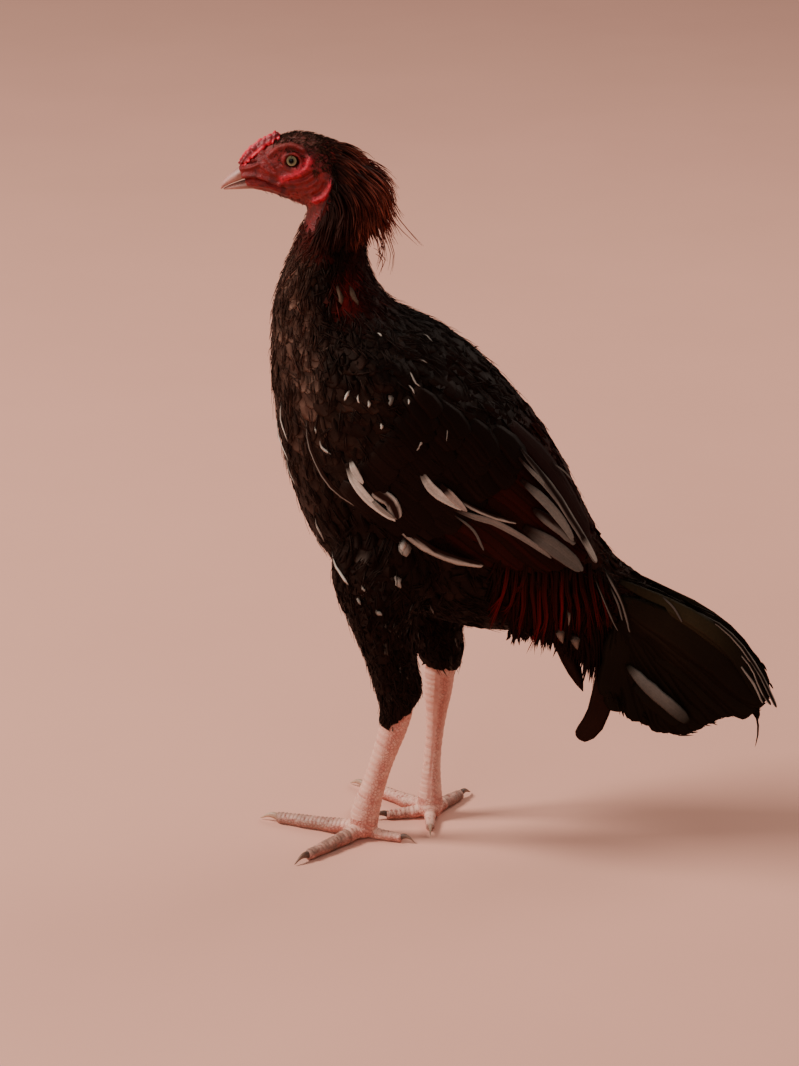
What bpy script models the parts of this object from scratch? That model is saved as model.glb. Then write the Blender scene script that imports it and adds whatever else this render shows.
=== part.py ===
# Aseel cock, life size, standing, for a still museum model.
#
# Metres, +Z up. The bird faces -X, its left side is -Y, and it stands on z = 0.
# The body is one loft along the spine, parted by thin flat cuts into torso, rump,
# neck and head. Wings, thighs, tail and beak are set against it and cut clear of it.
# Flight and tail feathers are thin overlapping vanes, hackles are flat tapered locks.
# Each is sunk in its node's core at the root and fused with it.

import math
import random

import bmesh
import bpy
import numpy as np
from mathutils import Matrix, Vector
from mathutils.bvhtree import BVHTree

# Clearance between pieces that touch
GAP = 0.0003

# Sizes that the rest follows
EYE_RADIUS = 0.0072
EYE_CENTRE = (-0.1880, 0.0122, 0.6385)
SHANK_DEPTH = 0.0105
SHANK_WIDTH = 0.0085
FOOT_BALL = 0.0130
TOE_RADIUS = 0.0058
CLAW_RADIUS = 0.0034
FEATHER_THICKNESS = 0.0007

# Body sections, from the tail's root to the beak's base. Each row is the upper
# point (x, z), the lower point (x, z), the half width, and how far the widest part
# lies towards the upper side (-1 to 1).
TORSO_SECTIONS = (
    (0.101, 0.264, 0.088, 0.222, 0.0150, 0.0),
    (0.086, 0.276, 0.062, 0.208, 0.0230, 0.0),
    (0.075, 0.302, 0.028, 0.200, 0.0325, 0.0),
    (0.062, 0.333, -0.010, 0.200, 0.0415, 0.0),
    (0.047, 0.364, -0.054, 0.208, 0.0500, 0.0),
    (0.028, 0.396, -0.102, 0.228, 0.0580, 0.0),
    (0.006, 0.425, -0.146, 0.258, 0.0645, 0.0),
    (-0.014, 0.448, -0.174, 0.296, 0.0690, 0.0),
    (-0.036, 0.468, -0.190, 0.338, 0.0710, 0.0),
    (-0.058, 0.484, -0.200, 0.380, 0.0700, 0.05),
    (-0.078, 0.493, -0.206, 0.420, 0.0655, 0.10),
    (-0.093, 0.500, -0.208, 0.452, 0.0565, 0.10),
)
NECK_SECTIONS = (
    (-0.104, 0.509, -0.2075, 0.480, 0.0440, 0.0),
    (-0.112, 0.522, -0.2055, 0.506, 0.0375, 0.0),
    (-0.117, 0.540, -0.1990, 0.531, 0.0330, 0.0),
    (-0.1165, 0.560, -0.1890, 0.556, 0.0300, 0.0),
    (-0.114, 0.583, -0.1815, 0.574, 0.0285, 0.0),
    (-0.1145, 0.606, -0.1775, 0.586, 0.0270, 0.05),
)
HEAD_SECTIONS = (
    (-0.1250, 0.629, -0.1765, 0.5915, 0.0252, 0.10),
    (-0.1430, 0.646, -0.1775, 0.5945, 0.0230, 0.12),
    (-0.162, 0.655, -0.1800, 0.5965, 0.0208, 0.15),
    (-0.180, 0.6595, -0.1860, 0.5990, 0.0190, 0.18),
    (-0.196, 0.6570, -0.1940, 0.6020, 0.0172, 0.20),
    (-0.209, 0.6500, -0.2030, 0.6050, 0.0146, 0.16),
    (-0.221, 0.6405, -0.2140, 0.6080, 0.0115, 0.08),
    (-0.2335, 0.6290, -0.2265, 0.6108, 0.0080, 0.0),
)
BODY_SECTIONS = TORSO_SECTIONS + NECK_SECTIONS + HEAD_SECTIONS
RING_POINTS = 20
BODY_STEPS = 2

# Cuts across the body: a point (x, z) and the direction (x, z) in which the cut faces
NECK_CUT = ((-0.150, 0.489), (-0.22, 0.976))
HEAD_CUT = ((-0.150, 0.619), (-0.83, 0.56))
RUMP_CUT = ((-0.030, 0.300), (1.0, 0.0))
TAIL_CUT = ((0.090, 0.243), (0.87, -0.49))


# Materials

def material(name, colour, roughness=0.6, metallic=0.0):
    """A plain finish of one colour."""
    finish = bpy.data.materials.new(name)
    finish.use_nodes = True
    shader = finish.node_tree.nodes["Principled BSDF"]
    shader.inputs["Base Color"].default_value = (*colour, 1.0)
    shader.inputs["Roughness"].default_value = roughness
    shader.inputs["Metallic"].default_value = metallic
    return finish


# Objects and meshes

def new_object(name, bm, finish=None):
    """A mesh object from a bmesh, in the bird's collection."""
    bmesh.ops.recalc_face_normals(bm, faces=bm.faces[:])
    mesh = bpy.data.meshes.new(name)
    bm.to_mesh(mesh)
    bm.free()
    made = bpy.data.objects.new(name, mesh)
    BIRD.objects.link(made)
    if finish is not None:
        mesh.materials.append(finish)
    return made


def loft(rings):
    """A closed bmesh of triangles through rings of equal count, with flat ends."""
    bm = bmesh.new()
    rows = [[bm.verts.new(point) for point in ring] for ring in rings]
    count = len(rings[0])
    for row, following in zip(rows, rows[1:]):
        for i in range(count):
            j = (i + 1) % count
            bm.faces.new((row[i], row[j], following[j], following[i]))
    bmesh.ops.triangulate(bm, faces=bm.faces[:])
    bm.faces.new(rows[0])
    bm.faces.new(rows[-1])
    return bm


def blade(name, stations):
    """A thin closed strip through stations of four corners, split alike on both faces."""
    bm = bmesh.new()
    rows = [[bm.verts.new(corner) for corner in corners] for corners in stations]
    for row, following in zip(rows, rows[1:]):
        for i in range(4):
            j = (i + 1) % 4
            if i < 2:
                bm.faces.new((row[i], row[j], following[j]))
                bm.faces.new((row[i], following[j], following[i]))
            else:
                bm.faces.new((row[i], row[j], following[i]))
                bm.faces.new((row[j], following[j], following[i]))
    bm.faces.new(rows[0])
    bm.faces.new(rows[-1])
    return new_object(name, bm)


def ball(name, centre, radii, rings=5, segments=7, tilt=0.0, finish=None):
    """An ellipsoid with the given half sizes, tilted in the side view."""
    bm = bmesh.new()
    bmesh.ops.create_uvsphere(bm, u_segments=segments, v_segments=rings, radius=1.0)
    bmesh.ops.scale(bm, vec=radii, verts=bm.verts[:])
    bmesh.ops.rotate(bm, matrix=Matrix.Rotation(tilt, 3, "Y"), verts=bm.verts[:])
    bmesh.ops.translate(bm, vec=centre, verts=bm.verts[:])
    return new_object(name, bm, finish)


def keep_side(bm, point, direction, clearance=GAP / 2):
    """Cuts a closed bmesh by a plane and keeps the part that its direction points to."""
    facing = Vector(direction).normalized()
    at = Vector(point) + facing * clearance
    geometry = bm.verts[:] + bm.edges[:] + bm.faces[:]
    cut = bmesh.ops.bisect_plane(bm, geom=geometry, plane_co=at, plane_no=facing, clear_inner=True)
    edges = [item for item in cut["geom_cut"] if isinstance(item, bmesh.types.BMEdge)]
    bmesh.ops.contextual_create(bm, geom=edges)
    return bm


def plane(cut):
    """The point and the direction in space of a cut given in the side view."""
    (x, z), (dx, dz) = cut
    return (x, 0.0, z), (dx, 0.0, dz)


def away(direction):
    """The opposite direction."""
    return tuple(-value for value in direction)


def apply_modifiers(target):
    """Turns what the modifiers make into the object's own mesh."""
    graph = bpy.context.evaluated_depsgraph_get()
    mesh = bpy.data.meshes.new_from_object(target.evaluated_get(graph), depsgraph=graph)
    target.modifiers.clear()
    old = target.data
    target.data = mesh
    bpy.data.meshes.remove(old)


def shells_of(bm):
    """The separate closed surfaces of a bmesh, as lists of vertices."""
    left = set(bm.verts)
    shells = []
    while left:
        shell = []
        edge = [left.pop()]
        while edge:
            vert = edge.pop()
            shell.append(vert)
            for link in vert.link_edges:
                other = link.other_vert(vert)
                if other in left:
                    left.remove(other)
                    edge.append(other)
        shells.append(shell)
    return shells


def keep_largest(target):
    """Keeps an object's largest closed surface and drops any scrap."""
    bm = bmesh.new()
    bm.from_mesh(target.data)
    slits = [edge for edge in bm.edges if len(edge.link_faces) == 1]
    bmesh.ops.holes_fill(bm, edges=slits, sides=0)

    def spread(shell):
        places = np.array([vert.co for vert in shell])
        return np.linalg.norm(places.max(axis=0) - places.min(axis=0))

    for shell in sorted(shells_of(bm), key=spread)[:-1]:
        bmesh.ops.delete(bm, geom=shell, context="VERTS")
    bm.to_mesh(target.data)
    bm.free()


def grown(source, distance):
    """A cutter like an object, with each face moved out by at least a distance."""
    bm = bmesh.new()
    bm.from_mesh(source.data)
    bm.normal_update()
    moves = []
    for vert in bm.verts:
        steepest = min(vert.normal.dot(face.normal) for face in vert.link_faces)
        moves.append(vert.normal * distance / max(steepest, 0.4))
    for vert, move in zip(bm.verts, moves):
        vert.co += move
    mesh = bpy.data.meshes.new(source.name + "_room")
    bm.to_mesh(mesh)
    bm.free()
    cutter = bpy.data.objects.new(source.name + "_room", mesh)
    as_cutter(cutter)
    return cutter


def as_cutter(made):
    """Marks an object as a cutter, which is no part of the bird."""
    for group in made.users_collection:
        group.objects.unlink(made)
    CUTTERS.objects.link(made)
    made.hide_render = True
    made.display_type = "WIRE"


def subtract(target, cutter):
    """Cuts a shape out of an object and removes the shape."""
    step = target.modifiers.new("cut", "BOOLEAN")
    step.operation = "DIFFERENCE"
    step.solver = "EXACT"
    step.object = cutter
    apply_modifiers(target)
    bpy.data.objects.remove(cutter)


def cut_clear(target, others, clearance=GAP):
    """Cuts an object clear of others, so that a thin gap stays between them."""
    for other in others:
        subtract(target, grown(other, clearance))
    keep_largest(target)


def fuse(target, pieces):
    """Joins closed pieces to an object by one union, and removes them."""
    group = bpy.data.collections.new(target.name + "_pieces")
    bpy.context.scene.collection.children.link(group)
    for piece in pieces:
        BIRD.objects.unlink(piece)
        group.objects.link(piece)
    step = target.modifiers.new("fuse", "BOOLEAN")
    step.operation = "UNION"
    step.operand_type = "COLLECTION"
    step.solver = "MANIFOLD"
    step.collection = group
    apply_modifiers(target)
    for piece in pieces:
        bpy.data.objects.remove(piece)
    bpy.data.collections.remove(group)
    keep_largest(target)


# Curves and surfaces

def between(rows, place):
    """The row of numbers at a place along rows, on a Catmull-Rom curve."""
    last = len(rows) - 1
    i = min(max(int(place), 0), last - 1)
    t = place - i
    start, end = np.array(rows[i]), np.array(rows[i + 1])
    before = np.array(rows[i - 1]) if i > 0 else 2 * start - end
    after = np.array(rows[i + 2]) if i + 2 <= last else 2 * end - start
    return 0.5 * (2 * start + (end - before) * t
                  + (2 * before - 5 * start + 4 * end - after) * t ** 2
                  + (3 * start - before - 3 * end + after) * t ** 3)


def smooth_rows(rows, steps):
    """Rows along a Catmull-Rom curve, with the given number of steps in each span."""
    count = (len(rows) - 1) * steps
    return [between(rows, i / steps) for i in range(count + 1)]


def bezier(points, t):
    """A point on the quadratic curve with three control points."""
    a, b, c = (np.array(point) for point in points)
    return a * (1 - t) ** 2 + 2 * b * t * (1 - t) + c * t ** 2


def oval_point(row, angle):
    """The point of a section at an angle from its upper side."""
    along = math.cos(angle)
    across = math.sin(angle) * (1 + row[5] * along)
    x = (row[0] + row[2]) / 2 + (row[0] - row[2]) / 2 * along
    z = (row[1] + row[3]) / 2 + (row[1] - row[3]) / 2 * along
    return Vector((x, row[4] * across, z))


def oval(row, count):
    """A section's ring of points."""
    return [oval_point(row, 2 * math.pi * i / count) for i in range(count)]


def body_loft():
    """The whole body's loft."""
    return loft([oval(row, RING_POINTS) for row in smooth_rows(BODY_SECTIONS, BODY_STEPS)])


def body_point(place, angle, height=0.0):
    """A point over the body: a place along the sections, an angle round them, a height."""
    at = oval_point(between(BODY_SECTIONS, place), angle)
    ahead = oval_point(between(BODY_SECTIONS, place + 0.05), angle) - at
    around = oval_point(between(BODY_SECTIONS, place), angle + 0.05) - at
    outward = around.cross(ahead)
    outward.normalize()
    if outward.dot(at - oval_point(between(BODY_SECTIONS, place), angle + math.pi)) < 0:
        outward.negate()
    return at + outward * height, outward


def flank_lie(reach=0.022):
    """The smooth surface that folded feathers lie on, as y for a point of the side view."""
    bm = body_loft()
    tree = BVHTree.FromBMesh(bm)
    bm.free()

    def half_width(x, z):
        hit = tree.ray_cast(Vector((x, -1.0, z)), Vector((0, 1, 0)))[0]
        return 0.0 if hit is None else -hit.y

    def lie(x, z):
        total = 2.0 * half_width(x, z)
        for i in range(8):
            angle = math.pi * i / 4
            total += half_width(x + reach * math.cos(angle), z + reach * math.sin(angle))
        return max(total / 10.0, half_width(x, z)) + 0.0008

    return lie


# Feathers

# Width along a broad flight or tail feather, and along a narrow lock: (place, share)
VANE_WIDTHS = ((0.0, 0.55), (0.22, 0.92), (0.5, 1.0), (0.78, 0.92), (0.93, 0.66), (1.0, 0.22))
COVERT_WIDTHS = ((0.0, 0.70), (0.35, 1.0), (0.75, 0.90), (1.0, 0.30))
LOCK_WIDTHS = ((0.0, 0.70), (0.3, 1.0), (0.62, 0.85), (0.85, 0.48), (1.0, 0.14))


def flat_vane(name, side, surface, path, half_width, rise, slope, widths, thickness=FEATHER_THICKNESS):
    """A vane that lies on one side of the bird, its lower edge over the next vane's upper edge.

    surface gives y for a point of the side view, path gives (x, z) from root to tip,
    rise gives the inner face's height over the surface at the root and the tip, and
    slope says how much the vane rises from its upper to its lower edge.
    """
    stations = []
    for place, share in widths:
        here = np.array(path(place))
        ahead = np.array(path(min(place + 0.02, 1.0))) - np.array(path(max(place - 0.02, 0.0)))
        ahead /= np.linalg.norm(ahead)
        upward = np.array((-ahead[1], ahead[0]))
        height = rise[0] + (rise[1] - rise[0]) * place
        corners = []
        for offset, lift in ((share, thickness), (-share, thickness), (-share, 0.0), (share, 0.0)):
            x, z = here + upward * (offset * half_width)
            y = surface(x, z) + height + slope * half_width * (1 - offset) + lift
            corners.append((x, side * y, z))
        stations.append(corners)
    return blade(name, stations)


def body_lock(name, place, angle, run, drift, rises, half_width, thickness):
    """A flat tapered lock that starts in the body and lies along it towards the tail."""
    stations = []
    for t, share in LOCK_WIDTHS:
        height = float(np.interp(t, (0.0, 0.3, 0.62, 1.0), rises))
        at, outward = body_point(place - run * t, angle + drift * t, height)
        beyond = body_point(place - run * (t + 0.05), angle + drift * (t + 0.05), height)[0]
        across = (beyond - at).cross(outward).normalized() * (half_width * share)
        through = outward * (thickness * (0.5 + 0.5 * share) / 2)
        stations.append((at + across, at + through, at - across, at - through))
    return blade(name, stations)


# The body

def make_body():
    """Torso, rump, neck and head from one loft, parted by thin cuts."""
    neck_at, neck_up = plane(NECK_CUT)
    head_at, head_up = plane(HEAD_CUT)
    rump_at, rump_back = plane(RUMP_CUT)
    tail_at, tail_back = plane(TAIL_CUT)
    torso = body_loft()
    keep_side(torso, neck_at, away(neck_up))
    keep_side(torso, rump_at, away(rump_back))
    rump = body_loft()
    keep_side(rump, rump_at, rump_back)
    keep_side(rump, tail_at, away(tail_back))
    neck = body_loft()
    keep_side(neck, neck_at, neck_up)
    keep_side(neck, head_at, away(head_up))
    head = body_loft()
    keep_side(head, head_at, head_up)
    return (new_object("torso", torso, DARK_FEATHER), new_object("rump", rump, SADDLE_RED),
            new_object("neck", neck, HACKLE_RED), new_object("head", head, FACE_RED))


# Rows of hackle locks: place along the sections, number, widest angle, run towards the
# tail in sections, heights over the skin at four stations, and half width
HACKLE_ROWS = (
    (17.70, 11, 2.05, 3.2, (-0.0030, 0.0070, 0.0130, 0.0175), 0.0062),
    (16.60, 9, 2.15, 3.1, (-0.0030, 0.0035, 0.0070, 0.0115), 0.0066),
    (14.90, 9, 2.20, 2.5, (-0.0030, 0.0022, 0.0046, 0.0070), 0.0074),
)


def add_hackles(neck):
    """The nape's ruff and the hackles down the neck, clear of the neck's base."""
    draw = random.Random(11)
    locks = []
    for place, count, widest, run, rises, half_width in HACKLE_ROWS:
        for i in range(count):
            angle = widest * (2 * (i + 0.5) / count - 1)
            length = run * draw.uniform(0.82, 1.08) * (1 - 0.10 * abs(angle))
            lift = draw.uniform(0.75, 1.2) * (1.15 - 0.28 * abs(angle))
            heights = (rises[0],) + tuple(rise * lift for rise in rises[1:])
            start = place - draw.uniform(0.0, 0.3) - 0.10 * abs(angle)
            drift = draw.uniform(-0.10, 0.10) - 0.06 * angle
            locks.append(body_lock("lock", start, angle, length, drift, heights, half_width, 0.0018))
    fuse(neck, locks)


# Saddle hackles: x of the first and last root, number a side, height of the roots
SADDLE_FIRST = -0.010
SADDLE_LAST = 0.074
SADDLE_COUNT = 8


def saddle_surface(lie):
    """The flank down to the thigh's height, then straight down as locks hang."""

    def surface(x, z):
        knee = 0.232
        if z >= knee:
            return lie(x, z)
        return lie(x, knee) - 0.18 * (knee - z)

    return surface


def add_saddle(rump, lie):
    """The long red saddle hackles that hang over each side of the rump."""
    draw = random.Random(23)
    surface = saddle_surface(lie)
    locks = []
    for side in (-1, 1):
        for i in range(SADDLE_COUNT):
            share = i / (SADDLE_COUNT - 1)
            x = SADDLE_FIRST + (SADDLE_LAST - SADDLE_FIRST) * share
            top = 0.286 - 0.014 * share
            length = (0.104 - 0.030 * share ** 2) * draw.uniform(0.80, 1.12)
            lean = -0.010 + draw.uniform(-0.006, 0.004)
            points = ((x, top), (x + 0.002 + 0.4 * lean, top - 0.5 * length), (x + lean, top - length))
            rise = (-0.0035, 0.0030 + 0.0022 * (i % 2))
            locks.append(flat_vane("lock", side, surface, lambda t, p=points: bezier(p, t), 0.0055,
                                   rise, 0.08, LOCK_WIDTHS, 0.0011))
    fuse(rump, locks)


# The folded wing in the side view. The core holds the feathers' roots. Its rows run
# from the bend back: lower point, upper point, and height over the flank.
WING_CORE = (
    (-0.180, 0.418, -0.170, 0.452, 0.0015),
    (-0.174, 0.396, -0.146, 0.478, 0.0050),
    (-0.164, 0.374, -0.112, 0.482, 0.0072),
    (-0.152, 0.355, -0.076, 0.469, 0.0085),
    (-0.138, 0.340, -0.040, 0.449, 0.0088),
    (-0.124, 0.328, -0.006, 0.428, 0.0084),
    (-0.114, 0.322, 0.014, 0.411, 0.0076),
)

WING_SUNK = 0.006

# Flight feathers, outermost first: root from the wrist to the back, tips along the rear edge
FLIGHT_ROOTS = ((-0.124, 0.347), (-0.002, 0.411))
FLIGHT_TIPS = ((-0.023, 0.284), (0.086, 0.248), (0.086, 0.307))
FLIGHT_COUNT = 10
FLIGHT_HALF_WIDTH = 0.0120
FLIGHT_RISE = (0.0020, 0.0076)
FLIGHT_SLOPE = 0.11

# Rows of coverts: first and last root, first and last tip, number, half width, and the
# height over the flight feathers
COVERT_ROWS = (
    (((-0.128, 0.368), (-0.010, 0.408)), ((-0.098, 0.334), (0.032, 0.369)), 7, 0.0108, 0.0028),
    (((-0.142, 0.388), (-0.046, 0.424)), ((-0.116, 0.354), (-0.008, 0.392)), 6, 0.0106, 0.0048),
)


def make_wing(name, side, lie, body):
    """A folded wing: side is -1 for the left one and 1 for the right."""
    across = 7
    rings = []
    for row in WING_CORE:
        lower, upper, thick = np.array(row[0:2]), np.array(row[2:4]), row[4]
        outer, inner = [], []
        for i in range(across):
            t = i / (across - 1)
            x, z = lower + (upper - lower) * t
            crown = thick * (1 - abs(2 * t - 1) ** 3) * (0.75 + 0.5 * t) + 0.0012
            outer.append((x, side * (lie(x, z) + crown), z))
            inner.append((x, side * (lie(x, z) - WING_SUNK), z))
        rings.append(outer + inner[::-1])
    wing = new_object(name, loft(rings), DARK_FEATHER)
    cut_clear(wing, body)

    vanes = []
    for i in range(FLIGHT_COUNT):
        share = i / (FLIGHT_COUNT - 1)
        root = np.array(FLIGHT_ROOTS[0]) * (1 - share) + np.array(FLIGHT_ROOTS[1]) * share
        tip = bezier(FLIGHT_TIPS, share)
        across_way = np.array((-(tip - root)[1], (tip - root)[0])) / np.linalg.norm(tip - root)
        middle = (root + tip) / 2 + across_way * 0.006
        points = (root, middle, tip)
        rise = FLIGHT_RISE[0] + (FLIGHT_RISE[1] - FLIGHT_RISE[0]) * share
        vanes.append(flat_vane("vane", side, lie, lambda t, p=points: bezier(p, t), FLIGHT_HALF_WIDTH,
                               (rise, rise), FLIGHT_SLOPE, VANE_WIDTHS, 0.0005))
    for roots, tips, count, half_width, above in COVERT_ROWS:
        for i in range(count):
            share = i / (count - 1)
            root = np.array(roots[0]) * (1 - share) + np.array(roots[1]) * share
            tip = np.array(tips[0]) * (1 - share) + np.array(tips[1]) * share
            rise = FLIGHT_RISE[0] + (FLIGHT_RISE[1] - FLIGHT_RISE[0]) * share + above
            vanes.append(flat_vane("covert", side, lie, lambda t, a=root, b=tip: a + (b - a) * t,
                                   half_width, (0.45 * rise, rise), 0.09, COVERT_WIDTHS, 0.0007))
    fuse(wing, vanes)


# The tail's core, and its feathers in the side view
TAIL_CORE = (
    (0.082, 0.272, 0.066, 0.215, 0.0180, 0.0),
    (0.104, 0.266, 0.080, 0.198, 0.0190, -0.1),
    (0.124, 0.250, 0.092, 0.180, 0.0175, -0.2),
    (0.141, 0.232, 0.103, 0.166, 0.0140, -0.2),
    (0.149, 0.214, 0.122, 0.166, 0.0070, 0.0),
)
TAIL_PIVOT = (0.106, 0.232)
TAIL_TIPS = ((0.252, 0.130), (0.236, 0.118), (0.208, 0.109), (0.174, 0.099), (0.138, 0.103))
TAIL_STEP = 0.0004
TAIL_RIDGE = ((0.105, 0.264), (0.252, 0.150))

# Sickles and tail coverts: root, middle and tip in the side view, half width, outward height
SICKLES = (
    ((0.112, 0.246), (0.208, 0.238), (0.250, 0.116), 0.0085, 0.0060),
    ((0.112, 0.240), (0.242, 0.206), (0.238, 0.079), 0.0055, 0.0076),
    ((0.110, 0.230), (0.155, 0.205), (0.176, 0.140), 0.0085, 0.0072),
    ((0.100, 0.214), (0.104, 0.140), (0.070, 0.089), 0.0090, 0.0050),
)


def tail_surface(x, z):
    """The roof-shaped side of the tail: wider the further below the ridge."""
    start = np.array(TAIL_RIDGE[0])
    along = np.array(TAIL_RIDGE[1]) - start
    below = np.array((along[1], -along[0])) / np.linalg.norm(along)
    depth = float(np.dot(np.array((x, z)) - start, below))
    return 0.0022 + 0.15 * max(depth, 0.0)


def make_tail():
    """The tail, carried low: a core with tail feathers, sickles and coverts on both sides."""
    rings = [oval(row, 14) for row in smooth_rows(TAIL_CORE, 2)]
    bm = loft(rings)
    keep_side(bm, *plane(TAIL_CUT))
    tail = new_object("tail", bm, TAIL_BLACK)
    vanes = []
    pivot = np.array(TAIL_PIVOT)
    for side in (-1, 1):
        for k, tip in enumerate(TAIL_TIPS):
            share = k / (len(TAIL_TIPS) - 1)
            tip = np.array(tip)
            root = pivot + np.array((0.004, -0.016)) * share
            reach = tip - root
            upward = np.array((-reach[1], reach[0])) / np.linalg.norm(reach)
            middle = (root + tip) / 2 + upward * (0.024 * (1 - share) + 0.002)
            points = (root, middle, tip)
            rise = TAIL_STEP * (len(TAIL_TIPS) - 1 - k)
            vanes.append(flat_vane("vane", side, tail_surface, lambda t, p=points: bezier(p, t), 0.0175,
                                   (rise, rise), 0.10, VANE_WIDTHS, 0.0007))
        for root, middle, tip, half_width, height in SICKLES:
            points = (root, middle, tip)
            vanes.append(flat_vane("sickle", side, tail_surface, lambda t, p=points: bezier(p, t),
                                   half_width, (height - 0.003, height), 0.06, VANE_WIDTHS, 0.0009))
    fuse(tail, vanes)


# Legs: rows of x, y, z, half depth and half width. The left leg is the bird's left.
LEGS = {
    "left": {
        "thigh": (
            (-0.100, -0.030, 0.300, 0.046, 0.030),
            (-0.112, -0.034, 0.262, 0.046, 0.032),
            (-0.114, -0.036, 0.225, 0.034, 0.029),
            (-0.108, -0.034, 0.185, 0.0262, 0.024),
            (-0.099, -0.031, 0.150, 0.0232, 0.020),
            (-0.097, -0.030, 0.132, 0.0185, 0.0165),
            (-0.101, -0.029, 0.112, 0.0135, 0.0125),
        ),
        "shank": (
            (-0.086, -0.031, 0.165, 0.0150, 0.0120),
            (-0.093, -0.030, 0.140, 0.0155, 0.0125),
            (-0.101, -0.029, 0.112, 0.0120, 0.0100),
            (-0.111, -0.027, 0.080, SHANK_DEPTH, SHANK_WIDTH),
            (-0.120, -0.025, 0.050, SHANK_DEPTH, SHANK_WIDTH),
            (-0.1265, -0.0235, 0.027, 0.0115, 0.0100),
            (-0.1290, -0.0230, 0.013, 0.0125, 0.0115),
        ),
        "cuff": ((-0.095, 0.129), (0.70, -0.72)),
        "foot": (-0.130, -0.023),
        # claw tip (x, y), radius at the root, claw length
        "toes": {
            "inner": ((-0.1375, 0.0450), 0.0052, 0.016),
            "middle": ((-0.2260, 0.0150), 0.0060, 0.018),
            "outer": ((-0.1910, -0.0870), 0.0056, 0.017),
            "hind": ((-0.0810, -0.0400), 0.0044, 0.013),
        },
    },
    "right": {
        "thigh": (
            (-0.070, 0.030, 0.300, 0.046, 0.030),
            (-0.072, 0.034, 0.262, 0.044, 0.032),
            (-0.070, 0.036, 0.225, 0.034, 0.029),
            (-0.064, 0.035, 0.192, 0.0260, 0.024),
            (-0.058, 0.032, 0.165, 0.0200, 0.0185),
            (-0.057, 0.031, 0.150, 0.0165, 0.0150),
            (-0.059, 0.030, 0.136, 0.0135, 0.0125),
        ),
        "shank": (
            (-0.055, 0.032, 0.180, 0.0150, 0.0120),
            (-0.058, 0.031, 0.155, 0.0150, 0.0120),
            (-0.060, 0.030, 0.125, 0.0115, 0.0098),
            (-0.0625, 0.028, 0.090, SHANK_DEPTH, SHANK_WIDTH),
            (-0.0645, 0.026, 0.055, SHANK_DEPTH, SHANK_WIDTH),
            (-0.0660, 0.0235, 0.028, 0.0112, 0.0098),
            (-0.0668, 0.0225, 0.013, 0.0122, 0.0112),
        ),
        "cuff": ((-0.057, 0.148), (-0.15, -0.99)),
        "foot": (-0.067, 0.022),
        "toes": {
            "inner": ((-0.1235, 0.0125), 0.0052, 0.016),
            "middle": ((-0.1430, 0.0950), 0.0060, 0.018),
            "outer": ((-0.0280, 0.0740), 0.0054, 0.016),
            "hind": ((-0.0670, -0.0270), 0.0044, 0.014),
        },
    },
}
SCUTE_STEP = 0.0007


def limb(rows, count, steps, scutes=False):
    """A loft of oval rings along a limb. Scutes step out down its front, row by row."""
    fine = smooth_rows(rows, steps)
    centres = [Vector(row[:3]) for row in fine]
    rings = []
    for i, row in enumerate(fine):
        ahead = centres[min(i + 1, len(centres) - 1)] - centres[max(i - 1, 0)]
        ahead.normalize()
        side = Vector((0, 1, 0)) - ahead * ahead.y
        side.normalize()
        front = side.cross(ahead)
        if front.x > 0:
            front.negate()
        ring = []
        for j in range(count):
            angle = 2 * math.pi * j / count
            step = SCUTE_STEP * (i % 2) * max(math.cos(angle), 0.0) if scutes else 0.0
            ring.append(centres[i] + front * ((row[3] + step) * math.cos(angle))
                        + side * (row[4] * math.sin(angle)))
        rings.append(ring)
    return loft(rings)


def make_foot(name, at):
    """The ball of a foot, with a small flat below."""
    bm = bmesh.new()
    bmesh.ops.create_uvsphere(bm, u_segments=10, v_segments=6, radius=1.0)
    bmesh.ops.scale(bm, vec=(FOOT_BALL, FOOT_BALL, 0.0105), verts=bm.verts[:])
    bmesh.ops.translate(bm, vec=(at[0], at[1], 0.0088), verts=bm.verts[:])
    keep_side(bm, (0, 0, 0), (0, 0, 1), 0.0)
    return new_object(name, bm, LEG_PINK)


def floor_ring(centre, side, radius, squeeze, count):
    """One upright ring across a toe or claw, flat where it meets the floor."""
    ring = []
    for i in range(count):
        angle = 2 * math.pi * (i + 0.5) / count
        point = centre + side * (squeeze * radius * math.cos(angle))
        point.z = max(point.z + radius * math.sin(angle), 0.0)
        ring.append(point)
    return ring


def make_toe(name, foot_at, tip, radius, claw_length, others):
    """A toe from the ball of the foot out, cut clear of the others, and its claw."""
    start = Vector((foot_at[0], foot_at[1], 0.0))
    reach = Vector((tip[0], tip[1], 0.0)) - start
    outward = reach.normalized()
    side = Vector((-outward.y, outward.x, 0.0))
    toe_length = reach.length - claw_length
    joints = 3
    steps = 9
    first = 0.004
    rings = []
    for i in range(steps + 1):
        along = i / steps
        slim = radius * (1.12 - 0.34 * along)
        bulge = 1.0 + 0.07 * math.cos(2 * math.pi * joints * along)
        if i == steps:
            bulge = 0.72
        height = slim * (0.86 + 0.55 * max(0.0, 0.35 - along))
        centre = start + outward * (first + (toe_length - first) * along) + Vector((0, 0, height))
        rings.append(floor_ring(centre, side, slim * bulge, 1.0, 7))
    toe = new_object(name, loft(rings), LEG_PINK)
    cut_clear(toe, others)

    # The claw leaves the toe's end level, arches a little and drops to its tip
    claw_steps = 4
    rings = []
    for i in range(claw_steps + 1):
        along = i / claw_steps
        distance = toe_length + GAP + (claw_length - GAP) * along
        height = 0.0046 + 0.0016 * math.sin(math.pi * along) - 0.0032 * along ** 2
        thick = CLAW_RADIUS * radius / TOE_RADIUS * (1 - 0.88 * along)
        centre = start + outward * distance + Vector((0, 0, height))
        rings.append(floor_ring(centre, side, thick, 0.8, 6))
    new_object(name.replace("toe", "claw"), loft(rings), CLAW_HORN)
    return toe


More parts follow.
